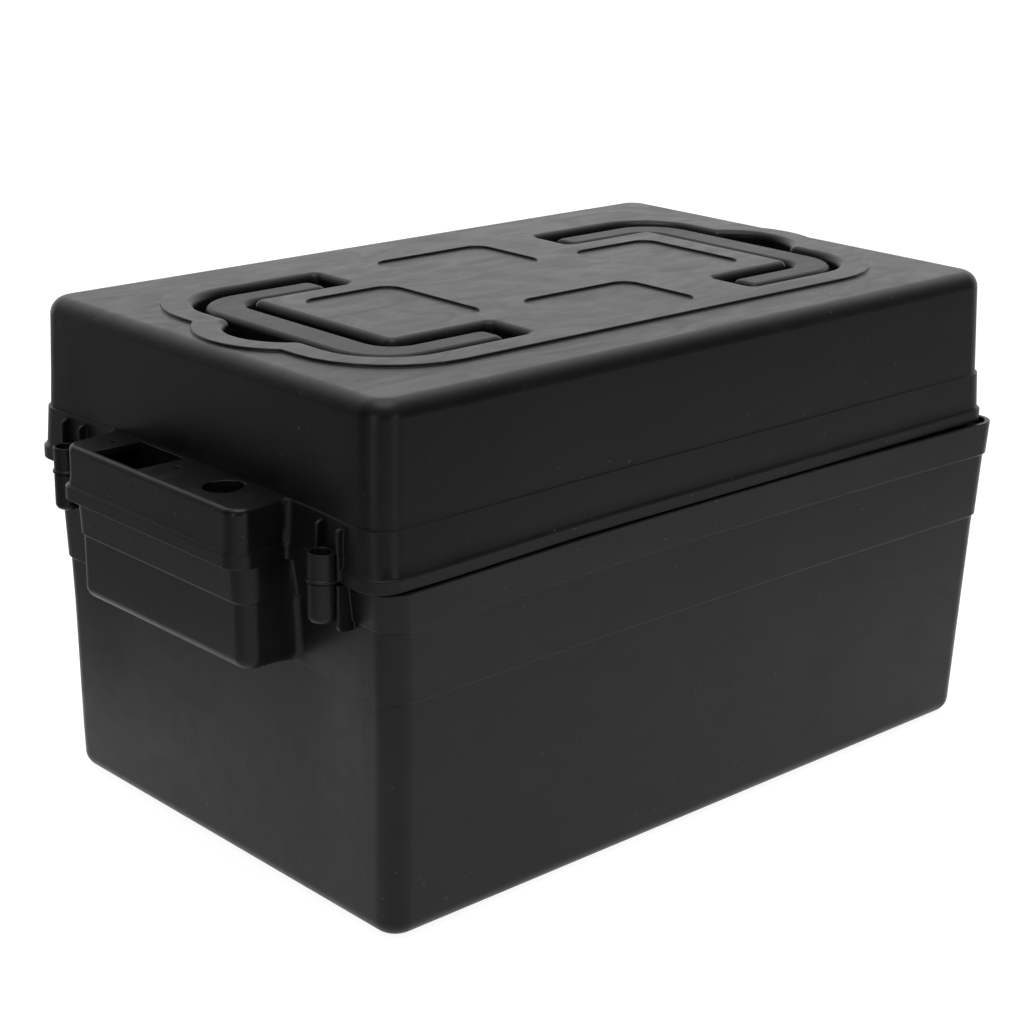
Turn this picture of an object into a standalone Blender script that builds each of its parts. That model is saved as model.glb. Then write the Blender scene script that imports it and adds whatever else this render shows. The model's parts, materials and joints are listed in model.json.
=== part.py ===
"""Battery box: a deep moulded tub, a lift-off cover with two drop handles in its top,
and a small wiring chamber on one end.

All sizes are millimetres in this file and are turned into metres when a mesh is made.
Frame: +Z up, X along the length with the wiring chamber at -X, the origin at the
centre of the tub's underside.
"""
import math

import bmesh
import bpy

MM = 0.001

# ---------------------------------------------------------------- driving dimensions
# Tub: height of each level, with half length and half width there.
FOOT = (200.0, 126.6)
LINE_Z, LINE_BELOW, LINE_ABOVE = 114.4, (204.4, 129.4), (205.4, 130.2)
BAND_Z, BAND_BELOW, BAND_ABOVE = 148.0, (206.7, 131.2), (207.7, 132.1)
RIM_Z, RIM = 165.4, (208.5, 132.9)
TUB_CORNER = 12.0
FOOT_ROUND = 8.0
WALL = 3.0
FLOOR = 3.5
STEP_RISE = 0.8

# Rim rebate: the ledge that carries the gasket, inside the collar.
LEDGE_Z = 157.4
COLLAR_INNER = (205.9, 130.3)
LEDGE_WIDTH = 9.2
CORBEL_LOW_Z, CORBEL_HIGH_Z = 144.0, 152.0
GASKET_HEIGHT = 4.0

# Cover: it sits off the tub's centre, at one end of its play in the collar.
COVER_SHIFT = (-2.8, 2.7)
FLANGE_Z, FLANGE_TOP_Z, FLANGE = 165.9, 172.3, (208.9, 132.35)
SKIRT_BELOW = (207.4, 131.4)
STEP_Z, SKIRT_ABOVE, STEP_ABOVE = 192.5, (206.3, 130.8), (205.3, 130.1)
TOP_Z, TOP = 245.1, (202.65, 128.85)
COVER_CORNER = 14.0
TOP_ROUND = 8.0
TONGUE_OUTER, TONGUE_THICKNESS, TONGUE_Z = (202.8, 127.2), 2.0, 161.7

# Raised deck on the cover, with its four shallow panels.
DECK_RISE = 1.3
DECK_Z = TOP_Z + DECK_RISE
DECK = (180.0, 96.5)
DECK_CORNER = 53.0
DECK_BULGE = 46.0
BULGE_CENTRE = 148.5
PANEL_DEPTH = 1.2
PANEL_CORNER = 9.0
END_PANEL = (89.4, 0.0, 28.1, 36.0)
SIDE_PANEL = (0.0, 55.3, 37.0, 25.8)

# Handle pocket: a U-shaped channel, open at nothing but the top.
POCKET_OUTER_X, POCKET_INNER_X, POCKET_HALF_Y = 164.0, 74.0, 79.0
ISLAND_X, ISLAND_HALF_Y = 133.6, 52.0
POCKET_CORNER, POCKET_END_CORNER, ISLAND_CORNER = 34.0, 3.0, 5.0
POCKET_BULGE = 31.0
POCKET_DEPTH = 18.5
POCKET_WALL = 2.6

# Drop handle.
HANDLE_OUTER_X, HANDLE_INNER_X, HANDLE_END_X = 158.8, 139.0, 83.0
HANDLE_OUTER_Y, HANDLE_INNER_Y = 73.0, 57.0
HANDLE_OUTER_CORNER, HANDLE_INNER_CORNER = 28.0, 14.0
HANDLE_THICKNESS = 12.0
HANDLE_BELOW_DECK = 1.7
HANDLE_ROUND = 3.0
PIN_X = 90.0
PIN_RADIUS = 2.5
PIN_IN_WALL = 2.0
GAP = 0.3

# Wiring chamber: the hood on the cover, the trough on the tub.
HOOD_X, HOOD_HALF_Y, HOOD_TOP_Z, HOOD_ROUND = -237.0, 67.0, 192.3, 2.5
HOOD_SKIRT = 1.3
TROUGH_X, TROUGH_HALF_Y, TROUGH_FLOOR_Z, TROUGH_ROUND = -230.6, 65.5, 116.0, 6.0
TROUGH_BAND = 1.0
CHAMBER_CORNER = 8.0
CHAMBER_WALL = 2.8
HOLLOW_FOOT_X, HOLLOW_X = -212.5, -210.6
SWITCH_X, SWITCH_Y, SWITCH_HALF = -222.0, 25.7, (11.6, 17.2)
SWITCH_SCREW_X, SWITCH_SCREW_REACH, SWITCH_SCREW_RADIUS = -218.4, 26.3, 1.5
GLAND_X, GLAND_Y, GLAND_RADIUS = -219.6, -36.2, 9.5
WIRE_SLOT_Z, WIRE_SLOT_RADIUS = 134.0, 7.0

# Screw bosses, two at each end.
BOSS_Y = 99.0
BOSS_X = {-1: -214.6, 1: 211.4}
BOSS_RADIUS = 6.0
BOSS_TOP_Z = 179.4
BOSS_LIP, BOSS_LIP_Z = 1.2, 167.2
BOSS_FOOT_Z = 145.4
BOSS_FOOT_ROUND = 3.0
RIB_OFFSET, RIB_THICKNESS, RIB_REACH, RIB_ROUND = 7.1, 1.8, 1.6, 3.0
COVER_RIB_TOP_Z = 188.6
TUB_RIB_FOOT_Z = 143.0
BOSS_FLOOR_Z = 168.6
HEAD_BORE_RADIUS = 4.6
SHANK_BORE_RADIUS = 2.9
INSERT_BORE_RADIUS, INSERT_BORE_Z = 3.7, 150.4
INSERT_RADIUS, INSERT_LENGTH, INSERT_HOLE_RADIUS = 3.4, 12.0, 2.8
SCREW_RADIUS, SCREW_HEAD_RADIUS, SCREW_HEAD_HEIGHT = 2.5, 4.2, 4.0
SCREW_TIP_Z = 151.6
SOCKET_RADIUS, SOCKET_DEPTH = 2.3, 2.4
WASHER_RADIUS, WASHER_THICKNESS = 4.2, 1.2

ARC_STEPS = 5
ROUND_STEPS = 16
FILLET_STEPS = 3


# ---------------------------------------------------------------- outlines, in mm
def arc(cx, cy, radius, start, end, steps):
    """Points along an arc, ends included; angles in degrees."""
    points = []
    for i in range(steps + 1):
        a = math.radians(start + (end - start) * i / steps)
        points.append((cx + radius * math.cos(a), cy + radius * math.sin(a)))
    return points


def rounded_polygon(corners, steps=ARC_STEPS):
    """Outline through (x, y, radius) corners, each rounded by its own radius."""
    points = []
    for i, (x, y, radius) in enumerate(corners):
        if radius <= 0.0:
            points.append((x, y))
            continue
        ax, ay = unit(corners[i - 1][0] - x, corners[i - 1][1] - y)
        following = corners[(i + 1) % len(corners)]
        bx, by = unit(following[0] - x, following[1] - y)
        half = math.acos(max(-1.0, min(1.0, ax * bx + ay * by))) / 2.0
        reach = radius / math.sin(half)
        mx, my = unit(ax + bx, ay + by)
        cx, cy = x + mx * reach, y + my * reach
        tangent = radius / math.tan(half)
        start = math.atan2(y + ay * tangent - cy, x + ax * tangent - cx)
        end = math.atan2(y + by * tangent - cy, x + bx * tangent - cx)
        sweep = (end - start + math.pi) % (2.0 * math.pi) - math.pi
        points += arc(cx, cy, radius, math.degrees(start), math.degrees(start + sweep), steps)
    return points


def unit(x, y):
    length = math.hypot(x, y)
    return x / length, y / length


def rounded_rect(half_x, half_y, radius, centre=(0.0, 0.0)):
    cx, cy = centre
    return rounded_polygon([
        (cx + half_x, cy - half_y, radius), (cx + half_x, cy + half_y, radius),
        (cx - half_x, cy + half_y, radius), (cx - half_x, cy - half_y, radius)])


def bulge(wall_x, radius, sign, steps=8):
    """Arc of a finger scoop that swells outward from a wall, from -Y to +Y."""
    half = math.degrees(math.acos((wall_x - BULGE_CENTRE) / radius))
    return [(sign * x, y) for x, y in arc(BULGE_CENTRE, 0.0, radius, -half, half, steps)]


def scooped_side(wall_x, radius, shoulder, sign):
    """Bulge corners for rounded_polygon; the two shoulders are rounded."""
    points = bulge(wall_x, radius, sign)
    middle = [(x, y, 0.0) for x, y in points[1:-1]]
    return [(*points[0], shoulder), *middle, (*points[-1], shoulder)]


def deck_outline():
    half_x, half_y = DECK
    right = scooped_side(half_x, DECK_BULGE, 4.0, 1)
    left = scooped_side(half_x, DECK_BULGE, 4.0, -1)
    return rounded_polygon(
        [(half_x, -half_y, DECK_CORNER), *right, (half_x, half_y, DECK_CORNER),
         (-half_x, half_y, DECK_CORNER), *reversed(left), (-half_x, -half_y, DECK_CORNER)])


def pocket_outline(sign, grow=0.0):
    """The U of one handle pocket; grow moves every wall outward from the channel."""
    outer, inner = POCKET_OUTER_X + grow, POCKET_INNER_X - grow
    half_y = POCKET_HALF_Y + grow
    island_x, island_y = ISLAND_X - grow, ISLAND_HALF_Y - grow
    side = scooped_side(outer, POCKET_BULGE + grow, 4.0, 1)
    corners = [
        (inner, -half_y, POCKET_END_CORNER), (outer, -half_y, POCKET_CORNER), *side,
        (outer, half_y, POCKET_CORNER), (inner, half_y, POCKET_END_CORNER),
        (inner, island_y, POCKET_END_CORNER), (island_x, island_y, ISLAND_CORNER),
        (island_x, -island_y, ISLAND_CORNER), (inner, -island_y, POCKET_END_CORNER)]
    return oriented([(sign * x, y) for x, y in rounded_polygon(corners)])


def handle_outline(inset=0.0):
    """The U of a handle whose bar lies toward +X, seen from above."""
    outer, inner, end = HANDLE_OUTER_X - inset, HANDLE_INNER_X + inset, HANDLE_END_X + inset
    out_y, in_y = HANDLE_OUTER_Y - inset, HANDLE_INNER_Y + inset
    big, small = HANDLE_OUTER_CORNER - inset, HANDLE_INNER_CORNER + inset
    return rounded_polygon([
        (end, -out_y, 0.0), (outer, -out_y, big), (outer, out_y, big), (end, out_y, 0.0),
        (end, in_y, 0.0), (inner, in_y, small), (inner, -in_y, small), (end, -in_y, 0.0)])


def chamber_outline(front_x, back_x, half_y, corner):
    """A box on the -X end, rounded at its two front corners."""
    return rounded_polygon([
        (front_x, half_y, corner), (front_x, -half_y, corner),
        (back_x, -half_y, 0.0), (back_x, half_y, 0.0)])


def boss_outline(sign, radius, back_x):
    """A boss with straight flanks running back to the wall, about y = 0."""
    x = BOSS_X[sign]
    nose = arc(x, 0.0, radius, -90.0, 90.0, 8)
    if sign < 0:
        nose = arc(x, 0.0, radius, 90.0, 270.0, 8)
    return nose + [(back_x, nose[-1][1]), (back_x, nose[0][1])]


def oriented(points):
    """The outline, anticlockwise."""
    area = 0.0
    for i, (x, y) in enumerate(points):
        area += points[i - 1][0] * y - x * points[i - 1][1]
    return points if area > 0.0 else points[::-1]


# ---------------------------------------------------------------- solids
def loft(name, levels):
    """Closed solid through (z, outline) levels from low to high, equal point counts."""
    mesh_data = bmesh.new()
    rings = []
    for z, outline in levels:
        rings.append([mesh_data.verts.new((x * MM, y * MM, z * MM)) for x, y in outline])
    mesh_data.faces.new(rings[0][::-1])
    mesh_data.faces.new(rings[-1])
    for low, high in zip(rings, rings[1:]):
        for i in range(len(low)):
            mesh_data.faces.new((low[i - 1], low[i], high[i], high[i - 1]))
    bmesh.ops.remove_doubles(mesh_data, verts=mesh_data.verts, dist=1e-6)
    bmesh.ops.recalc_face_normals(mesh_data, faces=mesh_data.faces)
    mesh = bpy.data.meshes.new(name)
    mesh_data.to_mesh(mesh)
    mesh_data.free()
    thing = bpy.data.objects.new(name, mesh)
    bpy.context.scene.collection.objects.link(thing)
    return thing


def prism(name, outline, low, high):
    return loft(name, [(low, outline), (high, outline)])


def cylinder(name, centre, radius, low, high, steps=ROUND_STEPS):
    cx, cy = centre
    return prism(name, arc(cx, cy, radius, 0.0, 360.0, steps)[:-1], low, high)


def moved(thing, dx, dy, dz=0.0):
    for vertex in thing.data.vertices:
        vertex.co.x += dx * MM
        vertex.co.y += dy * MM
        vertex.co.z += dz * MM
    return thing


def turned(thing, axis):
    """Lays a solid made along Z along X or Y instead."""
    for vertex in thing.data.vertices:
        x, y, z = vertex.co
        vertex.co = (z, x, y) if axis == "X" else (y, z, x)
    return thing


def combine(target, tool, operation):
    """Boolean of two solids, kept in target; the tool is used up."""
    modifier = target.modifiers.new(operation, "BOOLEAN")
    modifier.operation = operation
    modifier.solver = "EXACT"
    modifier.object = tool
    bpy.context.view_layer.update()
    evaluated = target.evaluated_get(bpy.context.evaluated_depsgraph_get())
    mesh = bpy.data.meshes.new_from_object(evaluated)
    target.modifiers.clear()
    target.data = mesh
    bpy.data.objects.remove(tool)
    return target


def join_to(target, *tools):
    for tool in tools:
        combine(target, tool, "UNION")
    return target


def cut_from(target, *tools):
    for tool in tools:
        combine(target, tool, "DIFFERENCE")
    return target


def round_levels(z, radius, outline_at, upward):
    """Levels of a rounded edge: outline_at(inset) gives the outline there."""
    levels = []
    for i in range(FILLET_STEPS + 1):
        a = math.radians(90.0 * i / FILLET_STEPS)
        inset = radius * (1.0 - math.sin(a))
        rise = radius * (1.0 - math.cos(a))
        levels.append((z + rise if upward else z - rise, outline_at(inset)))
    return levels if upward else levels[::-1]


def material(name, colour, roughness, metallic=0.0):
    made = bpy.data.materials.new(name)
    made.use_nodes = True
    shader = made.node_tree.nodes["Principled BSDF"]
    shader.inputs["Base Color"].default_value = (*colour, 1.0)
    shader.inputs["Roughness"].default_value = roughness
    shader.inputs["Metallic"].default_value = metallic
    return made


def finish(thing, name, made_of, parent=None, place=(0.0, 0.0, 0.0)):
    """Names a solid, gives it its material, and sets it under its parent."""
    thing.name = name
    thing.data.name = name
    thing.data.materials.clear()
    thing.data.materials.append(made_of)
    thing.data.shade_smooth()
    thing.data.set_sharp_from_angle(angle=math.radians(30.0))
    thing.parent = parent
    thing.location = [v * MM for v in place]
    return thing


def empty(name, place=(0.0, 0.0, 0.0), parent=None):
    made = bpy.data.objects.new(name, None)
    bpy.context.scene.collection.objects.link(made)
    made.location = [v * MM for v in place]
    made.parent = parent
    return made


# ---------------------------------------------------------------- tub
def tub_level(z, half, inset=0.0):
    return z, rounded_rect(half[0] - inset, half[1] - inset, max(TUB_CORNER - inset, 3.0))


def draft(low, high, low_z, high_z, z):
    t = (z - low_z) / (high_z - low_z)
    return low[0] + (high[0] - low[0]) * t, low[1] + (high[1] - low[1]) * t


def tub_outside():
    near_foot = draft(FOOT, LINE_BELOW, 0.0, LINE_Z, FOOT_ROUND)
    foot = round_levels(
        0.0, FOOT_ROUND,
        lambda inset: rounded_rect(near_foot[0] - inset, near_foot[1] - inset, TUB_CORNER - inset),
        True)
    levels = foot + [
        tub_level(LINE_Z, LINE_BELOW), tub_level(LINE_Z + STEP_RISE, LINE_ABOVE),
        tub_level(BAND_Z, BAND_BELOW), tub_level(BAND_Z + STEP_RISE, BAND_ABOVE),
        tub_level(RIM_Z, RIM)]
    return loft("tub", levels)


def tub_inside():
    ledge_inner = (COLLAR_INNER[0] - LEDGE_WIDTH, COLLAR_INNER[1] - LEDGE_WIDTH)
    return loft("inside", [
        tub_level(FLOOR, FOOT, WALL + 2.0), tub_level(FLOOR + 4.0, FOOT, WALL),
        tub_level(CORBEL_LOW_Z, LINE_ABOVE, WALL - 0.6),
        (CORBEL_HIGH_Z, rounded_rect(*ledge_inner, 6.0)),
        (LEDGE_Z, rounded_rect(*ledge_inner, 6.0)),
        (LEDGE_Z, rounded_rect(*COLLAR_INNER, 10.0)),
        (RIM_Z + 1.0, rounded_rect(*COLLAR_INNER, 10.0))])


def trough_outside():
    def outline(inset):
        return chamber_outline(TROUGH_X + inset, -200.0, TROUGH_HALF_Y - inset,
                               CHAMBER_CORNER - inset)
    levels = round_levels(TROUGH_FLOOR_Z, TROUGH_ROUND, outline, True)
    levels += [
        (BAND_Z, outline(-0.1)), (BAND_Z + STEP_RISE, outline(-TROUGH_BAND)),
        (RIM_Z, outline(-2.0 * TROUGH_BAND))]
    return loft("trough", levels)


def trough_inside():
    outline = chamber_outline(TROUGH_X + CHAMBER_WALL, -RIM[0] - 1.2,
                              TROUGH_HALF_Y - CHAMBER_WALL, CHAMBER_CORNER - CHAMBER_WALL)
    return prism("trough_inside", outline, TROUGH_FLOOR_Z + CHAMBER_WALL, RIM_Z + 1.0)


def rib(sign, y, outer_x, wall_x, low, high, round_low):
    """Upright gusset beside a boss, its free end rounded off."""
    flat = high if round_low else low
    tip = low if round_low else high
    back = tip + (RIB_ROUND if round_low else -RIB_ROUND)
    inward = 1.0 if sign < 0 else -1.0
    outline = [(wall_x, flat), (outer_x, flat), (outer_x, back)]
    for i in range(1, 4):
        a = math.radians(30.0 * i)
        outline.append((outer_x + inward * RIB_ROUND * (1.0 - math.cos(a)),
                        back + (tip - back) * math.sin(a)))
    outline.append((wall_x, tip))
    made = prism("rib", oriented(outline), -RIB_THICKNESS / 2.0, RIB_THICKNESS / 2.0)
    for vertex in made.data.vertices:
        x, z, depth = vertex.co
        vertex.co = (x, y * MM - depth, z)
    return made


def boss_places():
    return [(sign, side * BOSS_Y) for sign in (-1, 1) for side in (-1, 1)]


def tub_boss(sign, y):
    back_x = sign * (LINE_ABOVE[0] - 1.0)

    def outline(inset):
        return boss_outline(sign, BOSS_RADIUS - inset, back_x)
    levels = round_levels(BOSS_FOOT_Z, BOSS_FOOT_ROUND, outline, True)
    levels.append((RIM_Z, outline(0.0)))
    return moved(loft("boss", levels), 0.0, y)


def wire_slot():
    """U notch from the rim down the wall between the tub and the trough."""
    outline = arc(0.0, WIRE_SLOT_Z, WIRE_SLOT_RADIUS, 180.0, 360.0, 12)
    outline += [(WIRE_SLOT_RADIUS, RIM_Z + 1.0), (-WIRE_SLOT_RADIUS, RIM_Z + 1.0)]
    return turned(prism("wire_slot", outline, -216.0, -195.0), "X")


def build_tub(plastic):
    tub = tub_outside()
    join_to(tub, trough_outside())
    for sign, y in boss_places():
        join_to(tub, tub_boss(sign, y))
        for side in (-1.0, 1.0):
            join_to(tub, rib(sign, y + side * RIB_OFFSET, BOSS_X[sign] - sign * RIB_REACH,
                             sign * (LINE_ABOVE[0] - 1.0), TUB_RIB_FOOT_Z, RIM_Z - 1.5, True))
    cut_from(tub, tub_inside(), trough_inside())
    for sign, y in boss_places():
        cut_from(tub, cylinder("bore", (BOSS_X[sign], y), INSERT_BORE_RADIUS,
                               INSERT_BORE_Z, RIM_Z + 1.0))
    cut_from(tub, wire_slot())
    return finish(tub, "base_tub", plastic)


def build_gasket(rubber):
    outer = [v - GAP for v in COLLAR_INNER]
    inner = [v - LEDGE_WIDTH + GAP for v in COLLAR_INNER]
    low, high = LEDGE_Z + GAP, LEDGE_Z + GASKET_HEIGHT
    gasket = prism("gasket", rounded_rect(*outer, 9.7), low, high)
    cut_from(gasket, prism("inside", rounded_rect(*inner, 6.3), low - 1.0, high + 1.0))
    return finish(gasket, "rim_gasket", rubber)


# ---------------------------------------------------------------- cover
def cover_level(z, half, inset=0.0):
    return z, rounded_rect(half[0] - inset, half[1] - inset, max(COVER_CORNER - inset, 3.0))


def cover_outside():
    top = round_levels(
        TOP_Z, TOP_ROUND,
        lambda inset: rounded_rect(TOP[0] - inset, TOP[1] - inset, COVER_CORNER - inset), False)
    levels = [
        (TONGUE_Z, rounded_rect(*TONGUE_OUTER, 9.0)), (FLANGE_Z, rounded_rect(*TONGUE_OUTER, 9.0)),
        cover_level(FLANGE_Z, FLANGE), cover_level(FLANGE_TOP_Z, FLANGE),
        cover_level(FLANGE_TOP_Z + STEP_RISE, SKIRT_BELOW), cover_level(STEP_Z, SKIRT_ABOVE),
        cover_level(STEP_Z + STEP_RISE, STEP_ABOVE)]
    return loft("cover", levels + top)


def cover_inside():
    tongue_inner = [v - TONGUE_THICKNESS for v in TONGUE_OUTER]
    return loft("inside", [
        (TONGUE_Z - 1.0, rounded_rect(*tongue_inner, 8.0)),
        (FLANGE_TOP_Z - 1.0, rounded_rect(*tongue_inner, 8.0)),
        cover_level(FLANGE_TOP_Z + 3.0, SKIRT_BELOW, WALL),
        cover_level(STEP_Z, STEP_ABOVE, WALL),
        cover_level(TOP_Z - WALL - 4.0, TOP, WALL), cover_level(TOP_Z - WALL, TOP, WALL + 5.0)])


def hood_solids():
    """The hood and the solid to cut from it, in the cover's own frame."""
    dx, dy = COVER_SHIFT

    def outline(grow):
        return chamber_outline(HOOD_X - grow, -200.0, HOOD_HALF_Y + grow, CHAMBER_CORNER + grow)
    low = [(FLANGE_Z, outline(HOOD_SKIRT)), (FLANGE_TOP_Z, outline(HOOD_SKIRT)),
           (FLANGE_TOP_Z + STEP_RISE, outline(0.0))]
    high = round_levels(HOOD_TOP_Z, HOOD_ROUND, lambda inset: outline(-inset), False)

    def hollow(back_x):
        return chamber_outline(HOOD_X + CHAMBER_WALL, back_x,
                               HOOD_HALF_Y - CHAMBER_WALL, CHAMBER_CORNER - CHAMBER_WALL)
    inside = loft("hood_inside", [
        (FLANGE_Z - 1.0, hollow(HOLLOW_FOOT_X)), (FLANGE_TOP_Z + 1.0, hollow(HOLLOW_FOOT_X)),
        (FLANGE_TOP_Z + 4.0, hollow(HOLLOW_X)), (HOOD_TOP_Z - CHAMBER_WALL, hollow(HOLLOW_X))])
    return moved(loft("hood", low + high), -dx, -dy), moved(inside, -dx, -dy)


def hood_openings():
    """Cutters for the switch opening, its screw holes and the cable gland hole."""
    dx, dy = COVER_SHIFT
    low, high = HOOD_TOP_Z - CHAMBER_WALL - 1.0, HOOD_TOP_Z + 1.0
    cutters = [
        prism("switch", rounded_rect(*SWITCH_HALF, 0.8, (SWITCH_X, SWITCH_Y)), low, high),
        cylinder("gland", (GLAND_X, GLAND_Y), GLAND_RADIUS, low, high, 20)]
    for side in (-1.0, 1.0):
        place = (SWITCH_SCREW_X, SWITCH_Y + side * SWITCH_SCREW_REACH)
        cutters.append(cylinder("screw_hole", place, SWITCH_SCREW_RADIUS, low, high, 8))
    return [moved(cutter, -dx, -dy) for cutter in cutters]


def cover_boss(sign, y):
    """Boss, lip and ribs of one cover fastening, in the cover's own frame."""
    dx, dy = COVER_SHIFT
    wall_x = sign * (STEP_ABOVE[0] - 1.0) + dx
    pieces = [
        moved(prism("boss", boss_outline(sign, BOSS_RADIUS, wall_x), FLANGE_Z, BOSS_TOP_Z), 0.0, y),
        moved(prism("lip", boss_outline(sign, BOSS_RADIUS + BOSS_LIP, wall_x),
                    FLANGE_Z, BOSS_LIP_Z), 0.0, y)]
    for side in (-1.0, 1.0):
        pieces.append(rib(sign, y + side * RIB_OFFSET, BOSS_X[sign] - sign * RIB_REACH, wall_x,
                          BOSS_LIP_Z - 0.6, COVER_RIB_TOP_Z, False))
    return [moved(piece, -dx, -dy) for piece in pieces]


def pocket_housing(sign):
    """Outer shape of a pocket, which hangs under the cover's top."""
    outline = pocket_outline(sign, POCKET_WALL)
    return prism("housing", outline, DECK_Z - POCKET_DEPTH - POCKET_WALL, TOP_Z - WALL + 1.0)


def pin_bores(sign):
    """Blind holes for the hinge pins in both walls of each pocket arm."""
    bores = []
    for side in (-1.0, 1.0):
        low, high = pin_span()
        bore = cylinder("bore", (pin_height(), sign * PIN_X), PIN_RADIUS + GAP,
                        low - GAP, high + GAP, 12)
        bore = turned(bore, "Y")
        if side < 0.0:
            mirror_y(bore)
        bores.append(bore)
    return bores


def pin_span():
    return ISLAND_HALF_Y - PIN_IN_WALL, POCKET_HALF_Y + PIN_IN_WALL


def pin_height():
    return DECK_Z - HANDLE_BELOW_DECK - HANDLE_THICKNESS / 2.0


def mirror_y(thing):
    for vertex in thing.data.vertices:
        vertex.co.y = -vertex.co.y
    thing.data.flip_normals()
    return thing


def build_cover(plastic, parent):
    cover = cover_outside()
    join_to(cover, prism("deck", deck_outline(), TOP_Z - 1.0, DECK_Z))
    hood, hood_hollow = hood_solids()
    join_to(cover, hood)
    for sign, y in boss_places():
        join_to(cover, *cover_boss(sign, y))
    cut_from(cover, cover_inside(), hood_hollow, *hood_openings())
    for sign in (-1, 1):
        join_to(cover, pocket_housing(sign))
        pocket = prism("pocket", pocket_outline(sign), DECK_Z - POCKET_DEPTH, DECK_Z + 1.0)
        cut_from(cover, pocket, *pin_bores(sign))
        for cx, cy, half_x, half_y in (END_PANEL, SIDE_PANEL):
            panel = rounded_rect(half_x, half_y, PANEL_CORNER, (sign * cx, sign * cy))
            cut_from(cover, prism("panel", panel, DECK_Z - PANEL_DEPTH, DECK_Z + 1.0))
    dx, dy = COVER_SHIFT
    for sign, y in boss_places():
        place = (BOSS_X[sign] - dx, y - dy)
        cut_from(cover,
                 cylinder("head_bore", place, HEAD_BORE_RADIUS, BOSS_FLOOR_Z, BOSS_TOP_Z + 1.0),
                 cylinder("shank_bore", place, SHANK_BORE_RADIUS, FLANGE_Z - 1.0, BOSS_TOP_Z))
    return finish(cover, "cover_shell", plastic, parent)


# ---------------------------------------------------------------- handles
def build_handle(name, sign, plastic, parent):
    """A drop handle, modelled about its hinge axis."""
    half = HANDLE_THICKNESS / 2.0
    low = [(-half, handle_outline(1.5)), (-half + 1.5, handle_outline(0.0))]
    high = round_levels(half, HANDLE_ROUND, handle_outline, False)
    handle = moved(loft("handle", low + high), -PIN_X, 0.0)
    for side in (-1.0, 1.0):
        bore = cylinder("bore", (0.0, 0.0), PIN_RADIUS + GAP,
                        HANDLE_INNER_Y - 2.0, HANDLE_OUTER_Y + 2.0, 12)
        bore = turned(bore, "Y")
        if side < 0.0:
            mirror_y(bore)
        cut_from(handle, bore)
    if sign < 0:
        for vertex in handle.data.vertices:
            vertex.co.x = -vertex.co.x
        handle.data.flip_normals()
    return finish(handle, name, plastic, parent)


def build_pin(name, sign, side, steel, parent):
    low, high = pin_span()
    pin = turned(cylinder("pin", (0.0, 0.0), PIN_RADIUS, low, high, 12), "Y")
    if side < 0.0:
        mirror_y(pin)
    return finish(pin, name, steel, parent, (sign * PIN_X, 0.0, pin_height()))


# ---------------------------------------------------------------- fasteners
def build_insert(name, place, brass):
    low = RIM_Z - 0.6 - INSERT_LENGTH
    insert = cylinder("insert", (0.0, 0.0), INSERT_RADIUS, low, low + INSERT_LENGTH)
    cut_from(insert, cylinder("hole", (0.0, 0.0), INSERT_HOLE_RADIUS, low - 1.0, RIM_Z))
    return finish(insert, name, brass, None, (*place, 0.0))


def build_washer(name, place, rubber):
    low = BOSS_FLOOR_Z + GAP
    washer = cylinder("washer", (0.0, 0.0), WASHER_RADIUS, low, low + WASHER_THICKNESS)
    cut_from(washer, cylinder("hole", (0.0, 0.0), SHANK_BORE_RADIUS, low - 1.0, low + 3.0))
    return finish(washer, name, rubber, None, (*place, 0.0))


def build_screw(name, place, steel):
    seat = BOSS_FLOOR_Z + WASHER_THICKNESS + 2.0 * GAP
    top = seat + SCREW_HEAD_HEIGHT

    def ring(radius):
        return arc(0.0, 0.0, radius, 0.0, 360.0, ROUND_STEPS)[:-1]
    screw = loft("screw", [
        (SCREW_TIP_Z, ring(SCREW_RADIUS - 0.8)), (SCREW_TIP_Z + 1.0, ring(SCREW_RADIUS)),
        (seat, ring(SCREW_RADIUS)), (seat, ring(SCREW_HEAD_RADIUS)),
        (top - 0.5, ring(SCREW_HEAD_RADIUS)), (top, ring(SCREW_HEAD_RADIUS - 0.5))])
    cut_from(screw, cylinder("socket", (0.0, 0.0), SOCKET_RADIUS, top - SOCKET_DEPTH, top + 1.0, 6))
    return finish(screw, name, steel, None, (*place, 0.0))


# ---------------------------------------------------------------- assembly
def clear_scene():
    for thing in list(bpy.data.objects):
        bpy.data.objects.remove(thing)


def main():
    clear_scene()
    plastic = material("black_plastic", (0.012, 0.012, 0.013), 0.5)
    rubber = material("black_rubber", (0.02, 0.02, 0.02), 0.85)
    steel = material("steel", (0.55, 0.55, 0.56), 0.35, 1.0)
    brass = material("brass", (0.65, 0.48, 0.22), 0.4, 1.0)

    build_tub(plastic)
    build_gasket(rubber)
    cover_frame = empty("cover_frame", (*COVER_SHIFT, 0.0))
    build_cover(plastic, cover_frame)
    for sign, side_name in ((-1, "left"), (1, "right")):
        hinge = empty(side_name + "_hinge", (sign * PIN_X, 0.0, pin_height()), cover_frame)
        build_handle(side_name + "_handle", sign, plastic, hinge)
        for side, end_name in ((-1.0, "near"), (1.0, "far")):
            build_pin(f"{side_name}_{end_name}_pin", sign, side, steel, cover_frame)
    for number, (sign, y) in enumerate(boss_places(), 1):
        place = (BOSS_X[sign], y)
        build_insert(f"base_insert_{number}", place, brass)
        build_washer(f"seal_washer_{number}", place, rubber)
        build_screw(f"cover_screw_{number}", place, steel)


main()
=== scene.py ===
"""Looks of the battery box: fine moulded surfaces, materials, light and camera.

Lengths are millimetres in this file and are turned into metres when a mesh is made.
World frame: +Z up, X along the length with the wiring chamber at -X, the origin at the
centre of the tub's underside.
"""

import json
import math

import bmesh
import bpy
from mathutils import Matrix, Vector


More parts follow.
